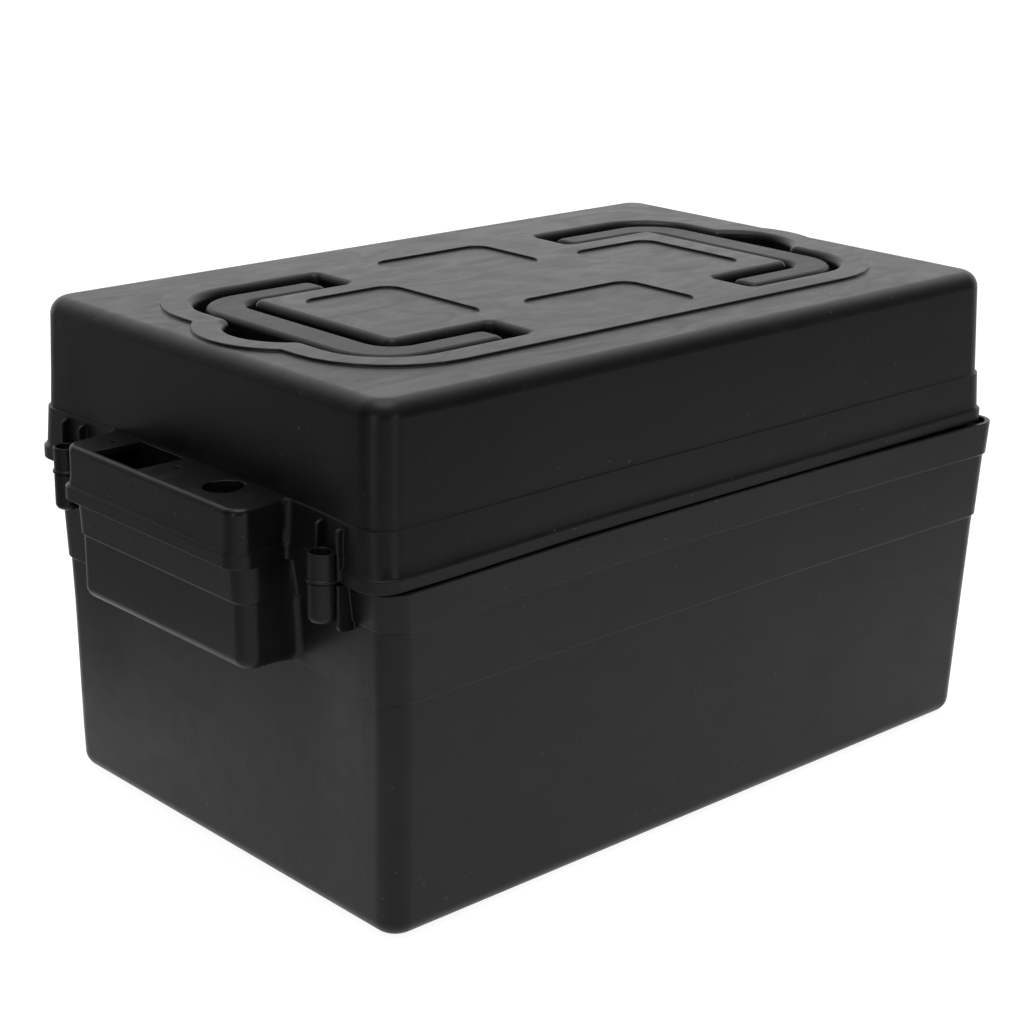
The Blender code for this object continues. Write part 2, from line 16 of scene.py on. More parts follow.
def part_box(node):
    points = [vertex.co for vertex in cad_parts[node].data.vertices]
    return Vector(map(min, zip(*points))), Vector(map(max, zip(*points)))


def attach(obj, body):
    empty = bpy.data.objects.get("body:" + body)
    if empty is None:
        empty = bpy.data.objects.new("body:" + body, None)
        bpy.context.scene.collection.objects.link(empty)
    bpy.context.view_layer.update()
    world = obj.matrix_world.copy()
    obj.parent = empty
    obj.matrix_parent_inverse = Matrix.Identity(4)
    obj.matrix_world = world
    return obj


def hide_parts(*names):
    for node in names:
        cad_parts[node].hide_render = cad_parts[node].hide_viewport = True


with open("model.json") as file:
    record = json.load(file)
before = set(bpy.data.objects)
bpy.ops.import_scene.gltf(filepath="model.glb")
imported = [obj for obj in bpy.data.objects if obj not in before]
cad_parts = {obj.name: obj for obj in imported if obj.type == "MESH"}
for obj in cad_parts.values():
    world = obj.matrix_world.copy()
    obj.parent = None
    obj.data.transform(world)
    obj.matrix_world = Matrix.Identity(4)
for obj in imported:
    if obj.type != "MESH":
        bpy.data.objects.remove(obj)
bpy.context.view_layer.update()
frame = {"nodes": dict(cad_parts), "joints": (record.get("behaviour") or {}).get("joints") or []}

MM = 0.001


def box_mm(name):
    """Lowest and highest corner of a CAD node at rest, in millimetres."""
    low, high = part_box(name)
    return [v / MM for v in low], [v / MM for v in high]


def middle_mm(name):
    low, high = box_mm(name)
    return [(a + b) / 2.0 for a, b in zip(low, high)]


# ---------------------------- sizes from the frame
RIM_Z = box_mm("base_tub")[1][2]
COVER_LOW, COVER_HIGH = box_mm("cover_shell")
DECK_Z = COVER_HIGH[2]
TONGUE_Z = COVER_LOW[2]
HINGES = {j["name"]: [v / MM for v in j["pos_m"]] for j in frame["joints"] if j["type"] == "hinge"}
LEFT_HINGE, RIGHT_HINGE = HINGES["left_handle_swing"], HINGES["right_handle_swing"]
COVER_CENTRE = ((LEFT_HINGE[0] + RIGHT_HINGE[0]) / 2.0, LEFT_HINGE[1])
PIN_X, PIN_Z = RIGHT_HINGE[0] - COVER_CENTRE[0], LEFT_HINGE[2]
SCREWS = [middle_mm(f"cover_screw_{n}") for n in range(1, 5)]
BOSS_X = {-1: SCREWS[0][0], 1: SCREWS[3][0]}
BOSS_Y = abs(SCREWS[0][1])

# ---------------------------- tub
# Pairs are (half length, half width); names that end in _Z are heights.
FOOT = (200.0, 126.6)
LINE_Z, LINE_BELOW, LINE_ABOVE = 113.2, (204.4, 129.4), (205.4, 130.2)
BAND_Z, BAND_BELOW, BAND_ABOVE = 147.2, (206.7, 131.2), (207.7, 132.1)
RIM = (208.5, 132.9)
TUB_CORNER, FOOT_ROUND = 12.0, 8.0
STEP_RISE, TUB_STEP, RIM_ROUND = 0.35, 1.1, 0.4
WALL, FLOOR = 3.0, 3.5
LEDGE_Z, COLLAR_INNER, LEDGE_WIDTH = 157.4, (205.9, 130.3), 9.2
CORBEL_LOW_Z, CORBEL_HIGH_Z, CORBEL_THIN = 144.0, 152.0, 0.6
INNER_CORNER, LEDGE_CORNER, COLLAR_CORNER, FLOOR_ROUND = 9.0, 6.0, 10.0, 5.0

# ---------------------------- cover
FLANGE_Z, FLANGE_TOP_Z, FLANGE = 165.9, 172.3, (208.9, 132.35)
SHOULDER, SHOULDER_RISE = [(0.9, 0.0), (0.55, 0.12), (0.25, 0.4)], 1.2
SKIRT_BELOW, SKIRT_ABOVE, STEP_ABOVE = (207.4, 131.4), (206.3, 130.8), (205.3, 130.1)
STEP_Z = 191.4
DECK_RISE = 1.3
TOP_Z, TOP, TOP_ROUND = DECK_Z - DECK_RISE, (202.65, 128.85), 8.0
COVER_CORNER, SKIRT_HOLLOW_DROP = 14.0, 1.0
TONGUE_OUTER, TONGUE_THICKNESS = (202.8, 127.2), 2.0
TONGUE_CORNER, TONGUE_INNER_CORNER, COVER_INNER_CORNER, CEILING_ROUND = 9.0, 8.0, 11.0, 5.0
DECK, DECK_CORNER = (180.0, 96.5), 53.0
DECK_BULGE, DECK_SHOULDER, BULGE_CENTRE = 46.0, 4.0, 148.5
DECK_EDGE, DECK_FOOT = 0.7, 0.4
PANEL_DEPTH, PANEL_CORNER, PANEL_EDGE, PANEL_FOOT = 1.2, 9.0, 0.5, 0.4
END_PANEL = (89.4, 0.0, 28.1, 36.0)
SIDE_PANEL = (0.0, 55.3, 37.0, 25.8)

# ---------------------------- handles and pockets
POCKET_OUTER_X, POCKET_INNER_X, POCKET_HALF_Y = 164.0, 74.0, 79.0
ISLAND_X, ISLAND_HALF_Y = 133.6, 52.0
POCKET_CORNER, POCKET_END_CORNER, ISLAND_CORNER = 34.0, 3.0, 5.0
POCKET_BULGE, POCKET_SHOULDER = 31.0, 4.0
POCKET_DEPTH, POCKET_WALL = 18.5, 2.6
POCKET_EDGE, POCKET_FOOT, HOUSING_ROUND = 3.9, 2.0, 1.5
HANDLE_OUTER_X, HANDLE_INNER_X, HANDLE_END_X = 158.8, 139.0, 83.0
HANDLE_OUTER_Y, HANDLE_INNER_Y = 73.0, 57.0
HANDLE_OUTER_CORNER, HANDLE_INNER_CORNER = 28.0, 14.0
HANDLE_TOP_ROUND, HANDLE_LOW_ROUND, HANDLE_TIP_ROUND = 3.0, 1.5, 3.0
PIN_RADIUS, GAP = 2.5, 0.3
PIN_BORE_PAST_POCKET, PIN_BORE_PAST_ARM = 2.3, 2.0
RIGHT_SLIP = 2.0

# ---------------------------- wiring chamber
HOOD_X, HOOD_HALF_Y, HOOD_TOP_Z, HOOD_ROUND = -237.0, 67.0, 192.3, 2.5
HOOD_SKIRT, SKIRT_FROM, SKIRT_RISE = 1.3, 0.6, 1.8
TROUGH_X, TROUGH_HALF_Y, TROUGH_FLOOR_Z, TROUGH_ROUND, TROUGH_BAND = -230.6, 65.5, 116.0, 6.0, 1.0
CHAMBER_CORNER, CHAMBER_FOOT, CHAMBER_WALL, CHAMBER_BACK_CORNER = 8.0, 4.0, 2.8, 0.5
HOLLOW_FOOT_X, HOLLOW_X, HOLLOW_STEP_LOW, HOLLOW_STEP_HIGH = -212.5, -210.6, 1.0, 4.0
TROUGH_BACK, TROUGH_INNER_ROUND = 1.2, 3.0
SWITCH_X, SWITCH_Y, SWITCH_HALF = -222.0, 25.7, (11.6, 17.2)
SWITCH_SCREW_X, SWITCH_SCREWS_Y, SWITCH_SCREW_RADIUS = -218.4, (-0.6, 52.0), 1.5
GLAND_X, GLAND_Y, GLAND_RADIUS = -219.6, -36.2, 8.6
WIRE_SLOT_Z, WIRE_SLOT_RADIUS, WIRE_SLOT_X = 134.0, 7.0, (-216.0, -195.0)
HOLE_EDGE, SMALL_HOLE_EDGE, SWITCH_CORNER = 0.5, 0.3, 0.8

# ---------------------------- fastenings
BOSS_RADIUS, BOSS_TOP_Z, BOSS_EDGE, BOSS_FILLET = 6.2, 178.5, 0.5, 0.5
BOSS_LIP, BOSS_LIP_Z, BOSS_LIP_ROUND = 0.7, 167.2, 0.3
BOSS_FOOT_Z, BOSS_FOOT_ROUND = 147.4, 3.0
RIB_HALF, RIB_NOSE, RIB_FILLET, RIB_IN, RIB_ROUND = 0.95, 0.7, 0.6, 1.6, 3.0
COVER_RIB_TOP_Z, TUB_RIB_FOOT_Z = 189.6, 144.0
BOSS_FLOOR_Z = 168.6
HEAD_BORE, SHANK_BORE, INSERT_BORE, INSERT_BORE_Z = 4.6, 2.9, 3.7, 150.4

# ---------------------------- gasket
GASKET_GAP, GASKET_WIDTH = 0.3, 8.0
GASKET_OUTER_CORNER, GASKET_INNER_CORNER = 9.0, 4.0

# ---------------------------- how the mouldings bow
# Pairs are (start, length) of a fade along an axis; the rest are millimetres of movement.
NEAR_STRIP, CORNER_RUN = (100.0, 25.0), (70.0, 130.0)
SAG = 0.8
TUB_DRAW_IN, TUB_CORNER_OUT = 4.0, 1.5
TUB_LEAN_NEAR, TUB_LEAN_MIDDLE, TUB_LEAN_FAR = 2.0, 4.3, 2.6
TUB_LEAN_RISE, TUB_LEAN_FALL = (-122.0, 52.0), (70.0, 50.0)
TUB_END_OUTSIDE, TUB_END_INSIDE = (-211.0, 2.5), (150.0, 40.0)
TUB_RIM_SHARE, TUB_RIM_BLEND = 0.5, 14.0
TUB_FAR_IN, TUB_FAR_Y, TUB_FAR_X = 1.0, (90.0, 40.0), (120.0, 85.0)
COVER_BOW, COVER_BOW_HALF, COVER_BOW_BLEND, COVER_BOW_FULL = 2.1, 118.0, 40.0, 0.65
COVER_END_OUTSIDE, COVER_END_INSIDE = (-216.0, 5.0), (180.0, 15.0)
COVER_FAR_IN, COVER_FAR_Y, COVER_FAR_X, COVER_FAR_FULL = 0.4, (85.0, 40.0), (150.0, 50.0), 0.5
COVER_FLARE, COVER_DRAW_IN, COVER_SAG_DOWN = 2.5, 0.5, (0.6, 0.3)
TONGUE_IN, TONGUE_IN_X, TONGUE_IN_Y = (2.0, 1.5), (150.0, 40.0), (60.0, 40.0)
HOOD_NEAR_OUT, HOOD_FAR_IN, HOOD_BLEND = 2.0, 2.5, 4.0
HOOD_SIDE, HOOD_NEAR_END, HOOD_FAR_END = (45.0, 20.0), (-90.0, 8.0), (-86.0, 8.0)
HOOD_RISE = 3.0

# ---------------------------- mesh density
CORNER_STEPS, NOSE_STEPS, FOOT_STEPS, FILLET_STEPS = 10, 7, 4, 7
SIDE_STEPS, STEP_LEVELS, HOLLOW_LEVELS, LEVEL_PITCH = 18, 5, 5, 24.0
BARE_FROM_Y, BARE_TO_BOSS, END_WALL_Y, END_MARGIN = 75.0, 11.0, 80.0, 1.0
SHORT_RUN, LEAST_CORNER = 3.0 * STEP_RISE, 1.0
FLAT = 0.01    # height between the two levels of a flat face
OVER = 1.0     # how far a cutter runs past the surface that it opens
SAME_POINT, TOO_SHORT, SHARP_ANGLE = 1e-7, 5e-6, 32.0


# ---------------------------- outlines, in mm
def grown(half, by):
    """Half length and half width, both changed by the same amount."""
    return half[0] + by, half[1] + by


def arc(cx, cy, radius, start, end, steps):
    """Points along an arc, ends included; angles in degrees."""
    points = []
    for i in range(steps + 1):
        a = math.radians(start + (end - start) * i / steps)
        points.append((cx + radius * math.cos(a), cy + radius * math.sin(a)))
    return points


def unit(x, y):
    length = math.hypot(x, y)
    return x / length, y / length


def rounded_polygon(corners, steps=8):
    """Outline through (x, y, radius) corners, each rounded by its own radius."""
    points = []
    for i, (x, y, radius) in enumerate(corners):
        if radius <= 0.0:
            points.append((x, y))
            continue
        ax, ay = unit(corners[i - 1][0] - x, corners[i - 1][1] - y)
        following = corners[(i + 1) % len(corners)]
        bx, by = unit(following[0] - x, following[1] - y)
        half = math.acos(max(-1.0, min(1.0, ax * bx + ay * by))) / 2.0
        mx, my = unit(ax + bx, ay + by)
        cx, cy = x + mx * radius / math.sin(half), y + my * radius / math.sin(half)
        tangent = radius / math.tan(half)
        start = math.atan2(y + ay * tangent - cy, x + ax * tangent - cx)
        end = math.atan2(y + by * tangent - cy, x + bx * tangent - cx)
        sweep = (end - start + math.pi) % (2.0 * math.pi) - math.pi
        points += arc(cx, cy, radius, math.degrees(start), math.degrees(start + sweep), steps)
    return points


def rounded_rect(half_x, half_y, radius, centre=(0.0, 0.0), steps=8):
    cx, cy = centre
    return rounded_polygon([
        (cx + half_x, cy - half_y, radius), (cx + half_x, cy + half_y, radius),
        (cx - half_x, cy + half_y, radius), (cx - half_x, cy - half_y, radius)], steps)


def between(start, end, steps):
    """Points inside a straight run, both ends left out."""
    return [(start[0] + (end[0] - start[0]) * i / steps, start[1] + (end[1] - start[1]) * i / steps)
            for i in range(1, steps)]


def wall_outline(half, corner, centre, left, right):
    """A rounded rectangle, anticlockwise, whose end walls carry (y, reach) profiles."""
    (hx, hy), (cx, cy) = half, centre
    ax, ay = hx - corner, hy - corner
    points = arc(cx + ax, cy - ay, corner, -90.0, 0.0, CORNER_STEPS)
    points += [(cx + hx + reach, y) for y, reach in right]
    points += arc(cx + ax, cy + ay, corner, 0.0, 90.0, CORNER_STEPS)
    points += between((cx + ax, cy + hy), (cx - ax, cy + hy), SIDE_STEPS)
    points += arc(cx - ax, cy + ay, corner, 90.0, 180.0, CORNER_STEPS)
    points += [(cx - hx - reach, y) for y, reach in reversed(left)]
    points += arc(cx - ax, cy - ay, corner, 180.0, 270.0, CORNER_STEPS)
    points += between((cx - ax, cy - hy), (cx + ax, cy - hy), SIDE_STEPS)
    return points


def bump(middle, half, reach, nose, foot_low, foot_high):
    """(y, reach) profile of a block that stands out of a wall, nose and feet rounded."""
    nominal = max(reach, nose + max(foot_low, foot_high) + FLAT)
    points = [(middle - half, 0.0)]
    if foot_low > 0.0:
        points = arc(middle - half - foot_low, foot_low, foot_low, -90.0, 0.0, FOOT_STEPS)
    points += arc(middle - half + nose, nominal - nose, nose, 180.0, 90.0, NOSE_STEPS)
    points += arc(middle + half - nose, nominal - nose, nose, 90.0, 0.0, NOSE_STEPS)
    if foot_high > 0.0:
        points += arc(middle + half + foot_high, foot_high, foot_high, 180.0, 270.0, FOOT_STEPS)
    else:
        points.append((middle + half, 0.0))
    return [(y, d * reach / nominal) for y, d in points]


def fastening(y, half, reach, rib_reach, rib_base):
    """Profile of one boss with a rib on each flank, clear of a boss of half width rib_base."""
    rib_at = rib_base + BOSS_FILLET + RIB_HALF
    return (bump(y - rib_at, RIB_HALF, rib_reach, RIB_NOSE, RIB_FILLET, 0.0)
            + bump(y, half, reach, half - FLAT, BOSS_FILLET, BOSS_FILLET)
            + bump(y + rib_at, RIB_HALF, rib_reach, RIB_NOSE, 0.0, RIB_FILLET))


def chamber(half, reach, inset):
    """Profile of the hood or the trough, moved inward by inset."""
    return bump(0.0, half - inset, max(reach - inset, 0.0),
                max(CHAMBER_CORNER - inset, LEAST_CORNER),
                CHAMBER_FOOT + inset, CHAMBER_FOOT + inset)


def bulge(wall_x, radius, steps=14):
    """Arc of a finger scoop that swells outward from the wall at wall_x, from -Y to +Y."""
    half = math.degrees(math.acos((wall_x - BULGE_CENTRE) / radius))
    return arc(BULGE_CENTRE, 0.0, radius, -half, half, steps)


def scooped_side(wall_x, radius, shoulder):
    """Corners of a finger scoop, with rounded shoulders where it leaves the wall."""
    points = bulge(wall_x, radius)
    middle = [(x, y, 0.0) for x, y in points[1:-1]]
    return [(*points[0], shoulder), *middle, (*points[-1], shoulder)]


def deck_outline(grow):
    """The raised part of the lid, swollen at both ends around the finger scoops."""
    (half_x, half_y), corner = grown(DECK, grow), DECK_CORNER + grow
    side = scooped_side(half_x, DECK_BULGE + grow, DECK_SHOULDER)
    left = [(-x, y, r) for x, y, r in reversed(side)]
    return placed(rounded_polygon(
        [(half_x, -half_y, corner), *side, (half_x, half_y, corner),
         (-half_x, half_y, corner), *left, (-half_x, -half_y, corner)]))


def placed(points):
    """From the cover's own middle to the world."""
    return [(x + COVER_CENTRE[0], y + COVER_CENTRE[1]) for x, y in points]


def facing(points, sign):
    """Turns an outline drawn for the +X end to the end that sign names, anticlockwise."""
    return points if sign > 0 else [(-x, y) for x, y in reversed(points)]


def slip(sign):
    """The +X handle and the inner walls of its pocket sit further out than those at -X."""
    return RIGHT_SLIP if sign > 0 else 0.0


def pocket_outline(sign, grow):
    """The U of one handle pocket; grow moves every wall outward from the channel."""
    outer, inner = POCKET_OUTER_X + grow, POCKET_INNER_X - grow + slip(sign)
    half_y = POCKET_HALF_Y + grow
    island_x, island_y = ISLAND_X - grow + slip(sign), ISLAND_HALF_Y - grow
    corner, end = POCKET_CORNER + grow, POCKET_END_CORNER + max(grow, 0.0)
    island = max(ISLAND_CORNER - grow, LEAST_CORNER)
    side = scooped_side(outer, POCKET_BULGE + grow, POCKET_SHOULDER)
    return placed(facing(rounded_polygon([
        (inner, -half_y, end), (outer, -half_y, corner), *side,
        (outer, half_y, corner), (inner, half_y, end),
        (inner, island_y, end), (island_x, island_y, island),
        (island_x, -island_y, island), (inner, -island_y, end)]), sign))


def handle_outline(sign, inset):
    """The U of a handle, seen from above."""
    outer, inner = HANDLE_OUTER_X - inset + slip(sign), HANDLE_INNER_X + inset + slip(sign)
    end = HANDLE_END_X + inset + slip(sign)
    out_y, in_y = HANDLE_OUTER_Y - inset, HANDLE_INNER_Y + inset
    big, small = HANDLE_OUTER_CORNER - inset, HANDLE_INNER_CORNER + inset
    tip = HANDLE_TIP_ROUND
    return placed(facing(rounded_polygon([
        (end, -out_y, tip), (outer, -out_y, big), (outer, out_y, big), (end, out_y, tip),
        (end, in_y, tip), (inner, in_y, small), (inner, -in_y, small), (end, -in_y, tip)]), sign))


# ---------------------------- heights
def quarter(radius, steps=FILLET_STEPS):
    """(rise, inset) pairs of a quarter round: from a flat face to the wall it meets."""
    angles = [math.pi / 2.0 * i / steps for i in range(steps + 1)]
    return [(radius * (1.0 - math.cos(a)), radius * (1.0 - math.sin(a))) for a in angles]


def inset_near(distance, radius):
    """Inset of a quarter round at a distance from the face that it runs into."""
    if distance >= radius:
        return 0.0
    drop = radius - max(distance, 0.0)
    return radius - math.sqrt(radius * radius - drop * drop)


def smooth(t):
    """An S-shaped run from 0 to 1."""
    t = min(max(t, 0.0), 1.0)
    return t * t * (3.0 - 2.0 * t)


def fade(value, start, length):
    """0 up to start and 1 from start + length on."""
    return smooth((value - start) / length)


def mix(a, b, t):
    return a + (b - a) * t


def wall_at(z, stations):
    """Half length and half width at a height; short steps are S-shaped, long runs straight."""
    for (z0, low), (z1, high) in zip(stations, stations[1:]):
        if z <= z1 or (z1, high) == stations[-1]:
            t = (z - z0) / (z1 - z0)
            if z1 - z0 < SHORT_RUN:
                t = smooth(t)
            return mix(low[0], high[0], t), mix(low[1], high[1], t)


def level_heights(stations, events):
    """Every height that the shape needs, from the stations and the extra events."""
    heights = set(events)
    for (z0, _), (z1, _) in zip(stations, stations[1:]):
        run = z1 - z0
        steps = STEP_LEVELS if run < SHORT_RUN else max(1, math.ceil(run / LEVEL_PITCH))
        heights.update(mix(z0, z1, i / steps) for i in range(steps + 1))
    low, high = stations[0][0], stations[-1][0]
    ordered = sorted(z for z in heights if low <= z <= high)
    return [z for i, z in enumerate(ordered) if i == 0 or z - ordered[i - 1] > FLAT / 2.0]


def face_at(z):
    """The two heights of a flat face at z."""
    return [z - FLAT, z]


def round_above(z, radius, steps=FILLET_STEPS):
    """Heights of a quarter round that starts at z."""
    return [z + rise for rise, _ in quarter(radius, steps)]


def round_below(z, radius, steps=FILLET_STEPS):
    """Heights of a quarter round that ends at z."""
    return [z - rise for rise, _ in quarter(radius, steps)]


# ---------------------------- solids
def linked(name, data):
    """A new object of some data, in the scene."""
    thing = bpy.data.objects.new(name, data)
    bpy.context.scene.collection.objects.link(thing)
    return thing


def solid(name, bm):
    """The finished mesh of a piece, as an object of its own."""
    bmesh.ops.remove_doubles(bm, verts=bm.verts, dist=SAME_POINT)
    bmesh.ops.recalc_face_normals(bm, faces=bm.faces)
    mesh = bpy.data.meshes.new(name)
    bm.to_mesh(mesh)
    bm.free()
    return linked(name, mesh)


def add_loft(bm, levels):
    """Adds a closed solid through (z, outline) levels from low to high, equal point counts."""
    rings = [[bm.verts.new((x * MM, y * MM, z * MM)) for x, y in outline] for z, outline in levels]
    bm.faces.new(rings[0][::-1])
    bm.faces.new(rings[-1])
    for low, high in zip(rings, rings[1:]):
        for i in range(len(low)):
            bm.faces.new((low[i - 1], low[i], high[i], high[i - 1]))


def lofts(name, *level_lists):
    """One object of several separate lofted solids."""
    bm = bmesh.new()
    for levels in level_lists:
        add_loft(bm, levels)
    return solid(name, bm)


def ring(cx, cy, radius, steps=40):
    """A full circle, without the point that would repeat the first."""
    return arc(cx, cy, radius, 0.0, 360.0, steps)[:-1]


def combine(target, tool, operation):
    """Boolean of two solids, kept in target; the tool is used up."""
    modifier = target.modifiers.new(operation, "BOOLEAN")
    modifier.operation = operation
    modifier.solver = "EXACT"
    modifier.object = tool
    bpy.context.view_layer.update()
    evaluated = target.evaluated_get(bpy.context.evaluated_depsgraph_get())
    mesh = bpy.data.meshes.new_from_object(evaluated)
    target.modifiers.clear()
    target.data = mesh
    bpy.data.objects.remove(tool)
    return target


def reordered(thing, order):
    """Puts the three coordinates of every vertex in another order."""
    for vertex in thing.data.vertices:
        vertex.co = [vertex.co[i] for i in order]
    thing.data.update()
    return thing


def warp(thing, shift):
    """Moves each vertex by shift(x, y, z), in millimetres."""
    for vertex in thing.data.vertices:
        x, y, z = (v / MM for v in vertex.co)
        dx, dy, dz = shift(x, y, z)
        vertex.co = ((x + dx) * MM, (y + dy) * MM, (z + dz) * MM)


def finish_surface(thing):
    """Cleans the mesh and gives it normals that keep flat faces flat beside rounded edges."""
    bm = bmesh.new()
    bm.from_mesh(thing.data)
    bmesh.ops.remove_doubles(bm, verts=bm.verts, dist=TOO_SHORT)
    bmesh.ops.dissolve_degenerate(bm, edges=bm.edges, dist=TOO_SHORT)
    bmesh.ops.triangulate(bm, faces=[f for f in bm.faces if len(f.verts) > 4])
    bm.to_mesh(thing.data)
    bm.free()
    thing.data.shade_smooth()
    thing.data.set_sharp_from_angle(angle=math.radians(SHARP_ANGLE))
    modifier = thing.modifiers.new("flat_faces", "WEIGHTED_NORMAL")
    modifier.keep_sharp = True
    modifier.weight = 60
    return thing


# ---------------------------- tub
TUB_STATIONS = [
    (0.0, FOOT), (LINE_Z, LINE_BELOW), (LINE_Z + TUB_STEP, LINE_ABOVE),
    (BAND_Z, BAND_BELOW), (BAND_Z + TUB_STEP, BAND_ABOVE), (RIM_Z, RIM)]


def trough_profile(z, wall_x):
    """Profile of the trough in the -X wall, rounded at its floor and flared in the rim band."""
    if z < TROUGH_FLOOR_Z:
        return chamber(TROUGH_HALF_Y, 0.0, TROUGH_ROUND)
    inset = inset_near(z - TROUGH_FLOOR_Z, TROUGH_ROUND)
    flare = TROUGH_BAND * smooth((z - BAND_Z) / TUB_STEP)
    flare += TROUGH_BAND * max(0.0, (z - BAND_Z) / (RIM_Z - BAND_Z))
    rim = inset_near(RIM_Z - z, RIM_ROUND)
    return chamber(TROUGH_HALF_Y, -TROUGH_X - wall_x, inset + rim - flare)


def tub_fastening(sign, y, z, wall_x):
    """Profile of one insert boss with its ribs, at a height on the tub's end wall."""
    boss_x = abs(BOSS_X[sign])
    inset = inset_near(z - BOSS_FOOT_Z, BOSS_FOOT_ROUND) + inset_near(RIM_Z - z, RIM_ROUND)
    reach = boss_x + BOSS_RADIUS - inset - wall_x if z >= BOSS_FOOT_Z else 0.0
    half = BOSS_RADIUS - (inset if z >= BOSS_FOOT_Z else BOSS_FOOT_ROUND - FLAT)
    rib_inset = inset_near(z - TUB_RIB_FOOT_Z, RIB_ROUND)
    rib = boss_x - RIB_IN - rib_inset - wall_x if TUB_RIB_FOOT_Z <= z < RIM_Z - RIM_ROUND else 0.0
    return fastening(y, half, reach, rib, BOSS_RADIUS)


def end_steps(half_y, steps=6):
    """Evenly spaced points of a bare wall."""
    return [(mix(-half_y, half_y, i / steps), 0.0) for i in range(steps + 1)]


def bare_wall(way, steps=4):
    """Bare wall points between the chamber and the fastening on one side of it."""
    near, far = sorted((way * BARE_FROM_Y, way * (BOSS_Y - BARE_TO_BOSS)))
    return [(mix(near, far, i / steps), 0.0) for i in range(steps + 1)]


def end_walls(z, left_x, right_x, fasten, chamber_at):
    """The (y, reach) profiles of both end walls, from -Y to +Y."""
    left = fasten(-1, -BOSS_Y, z, left_x) + bare_wall(-1)
    left += chamber_at(z, left_x) + bare_wall(1) + fasten(-1, BOSS_Y, z, left_x)
    right = fasten(1, -BOSS_Y, z, right_x) + end_steps(END_WALL_Y)
    right += fasten(1, BOSS_Y, z, right_x)
    return left, right


def tub_level(z):
    half = wall_at(z, TUB_STATIONS)
    inset = inset_near(z, FOOT_ROUND) + inset_near(RIM_Z - z, RIM_ROUND)
    wall_x = half[0] - inset
    ends = end_walls(z, wall_x, wall_x, tub_fastening, trough_profile)
    corner = TUB_CORNER - min(inset, FOOT_ROUND)
    return z, wall_outline((wall_x, half[1] - inset), corner, (0.0, 0.0), *ends)


def tub_heights():
    events = round_above(0.0, FOOT_ROUND)
    events += face_at(TROUGH_FLOOR_Z) + round_above(TROUGH_FLOOR_Z, TROUGH_ROUND)
    events += face_at(BOSS_FOOT_Z) + round_above(BOSS_FOOT_Z, BOSS_FOOT_ROUND, 5)
    events += face_at(TUB_RIB_FOOT_Z) + round_above(TUB_RIB_FOOT_Z, RIB_ROUND, 5)
    events += face_at(RIM_Z - RIM_ROUND) + round_below(RIM_Z, RIM_ROUND, 3)
    return level_heights(TUB_STATIONS, events)


def plain_outline(half, corner, centre=(0.0, 0.0)):
    """A rounded rectangle with as many points on every side at every level."""
    bare = [(centre[1] + y, 0.0) for y, _ in end_steps(half[1] - corner - END_MARGIN, 8)]
    return wall_outline(half, corner, centre, bare, bare)


def tub_hollow():
    """Cutter of the inside, up past the ledge that carries the gasket."""
    low = grown(FOOT, -WALL)
    levels = [(FLOOR + rise, plain_outline(grown(low, -inset), INNER_CORNER - inset))
              for rise, inset in quarter(FLOOR_ROUND)]
    for i in range(1, HOLLOW_LEVELS + 1):
        up = i / HOLLOW_LEVELS
        half = [mix(a, b - WALL + CORBEL_THIN, up) for a, b in zip(low, LINE_ABOVE)]
        z = mix(FLOOR + FLOOR_ROUND, CORBEL_LOW_Z, up)
        levels.append((z, plain_outline(half, INNER_CORNER)))
    ledge = plain_outline(grown(COLLAR_INNER, -LEDGE_WIDTH), LEDGE_CORNER)
    collar = plain_outline(COLLAR_INNER, COLLAR_CORNER)
    rim = plain_outline(grown(COLLAR_INNER, RIM_ROUND), COLLAR_CORNER + RIM_ROUND)
    return levels + [
        (CORBEL_HIGH_Z, ledge), (LEDGE_Z, ledge), (LEDGE_Z + FLAT, collar),
        (RIM_Z - RIM_ROUND, collar), (RIM_Z, rim), (RIM_Z + OVER, rim)]


def block(front_x, back_x, half_y, corner):
    """A block on the -X end, rounded at its two front corners."""
    return rounded_polygon([
        (front_x, half_y, corner), (front_x, -half_y, corner),
        (back_x, -half_y, CHAMBER_BACK_CORNER), (back_x, half_y, CHAMBER_BACK_CORNER)])


def trough_hollow():
    def outline(inset):
        return block(TROUGH_X + CHAMBER_WALL + inset, -RIM[0] - TROUGH_BACK,
                     TROUGH_HALF_Y - CHAMBER_WALL - inset,
                     CHAMBER_CORNER - CHAMBER_WALL - inset / 2.0)
    floor = TROUGH_FLOOR_Z + CHAMBER_WALL
    levels = [(floor + rise, outline(inset)) for rise, inset in quarter(TROUGH_INNER_ROUND, 5)]
    return levels + [(RIM_Z + OVER, outline(0.0))]


def flared_bore(cx, cy, radius, low, high, edge=HOLE_EDGE):
    """A round cutter whose rim is rounded where it leaves the surface at high."""
    levels = [(low, ring(cx, cy, radius))]
    levels += [(high - edge + rise, ring(cx, cy, radius + flare))
               for rise, flare in flare_steps(edge)]
    return levels + [(high + OVER, ring(cx, cy, radius + edge))]


def flare_steps(edge, steps=4):
    """(rise, flare) pairs that run from a wall out to the face above it."""
    angles = [math.pi / 2.0 * i / steps for i in range(steps + 1)]
    return [(edge * math.sin(a), edge * (1.0 - math.cos(a))) for a in angles]


def near_left(x, y):
    """1 at the corner of the near long wall and the -X wall, fading along the long wall."""
    return fade(-x, *CORNER_RUN) * fade(-y, *NEAR_STRIP)


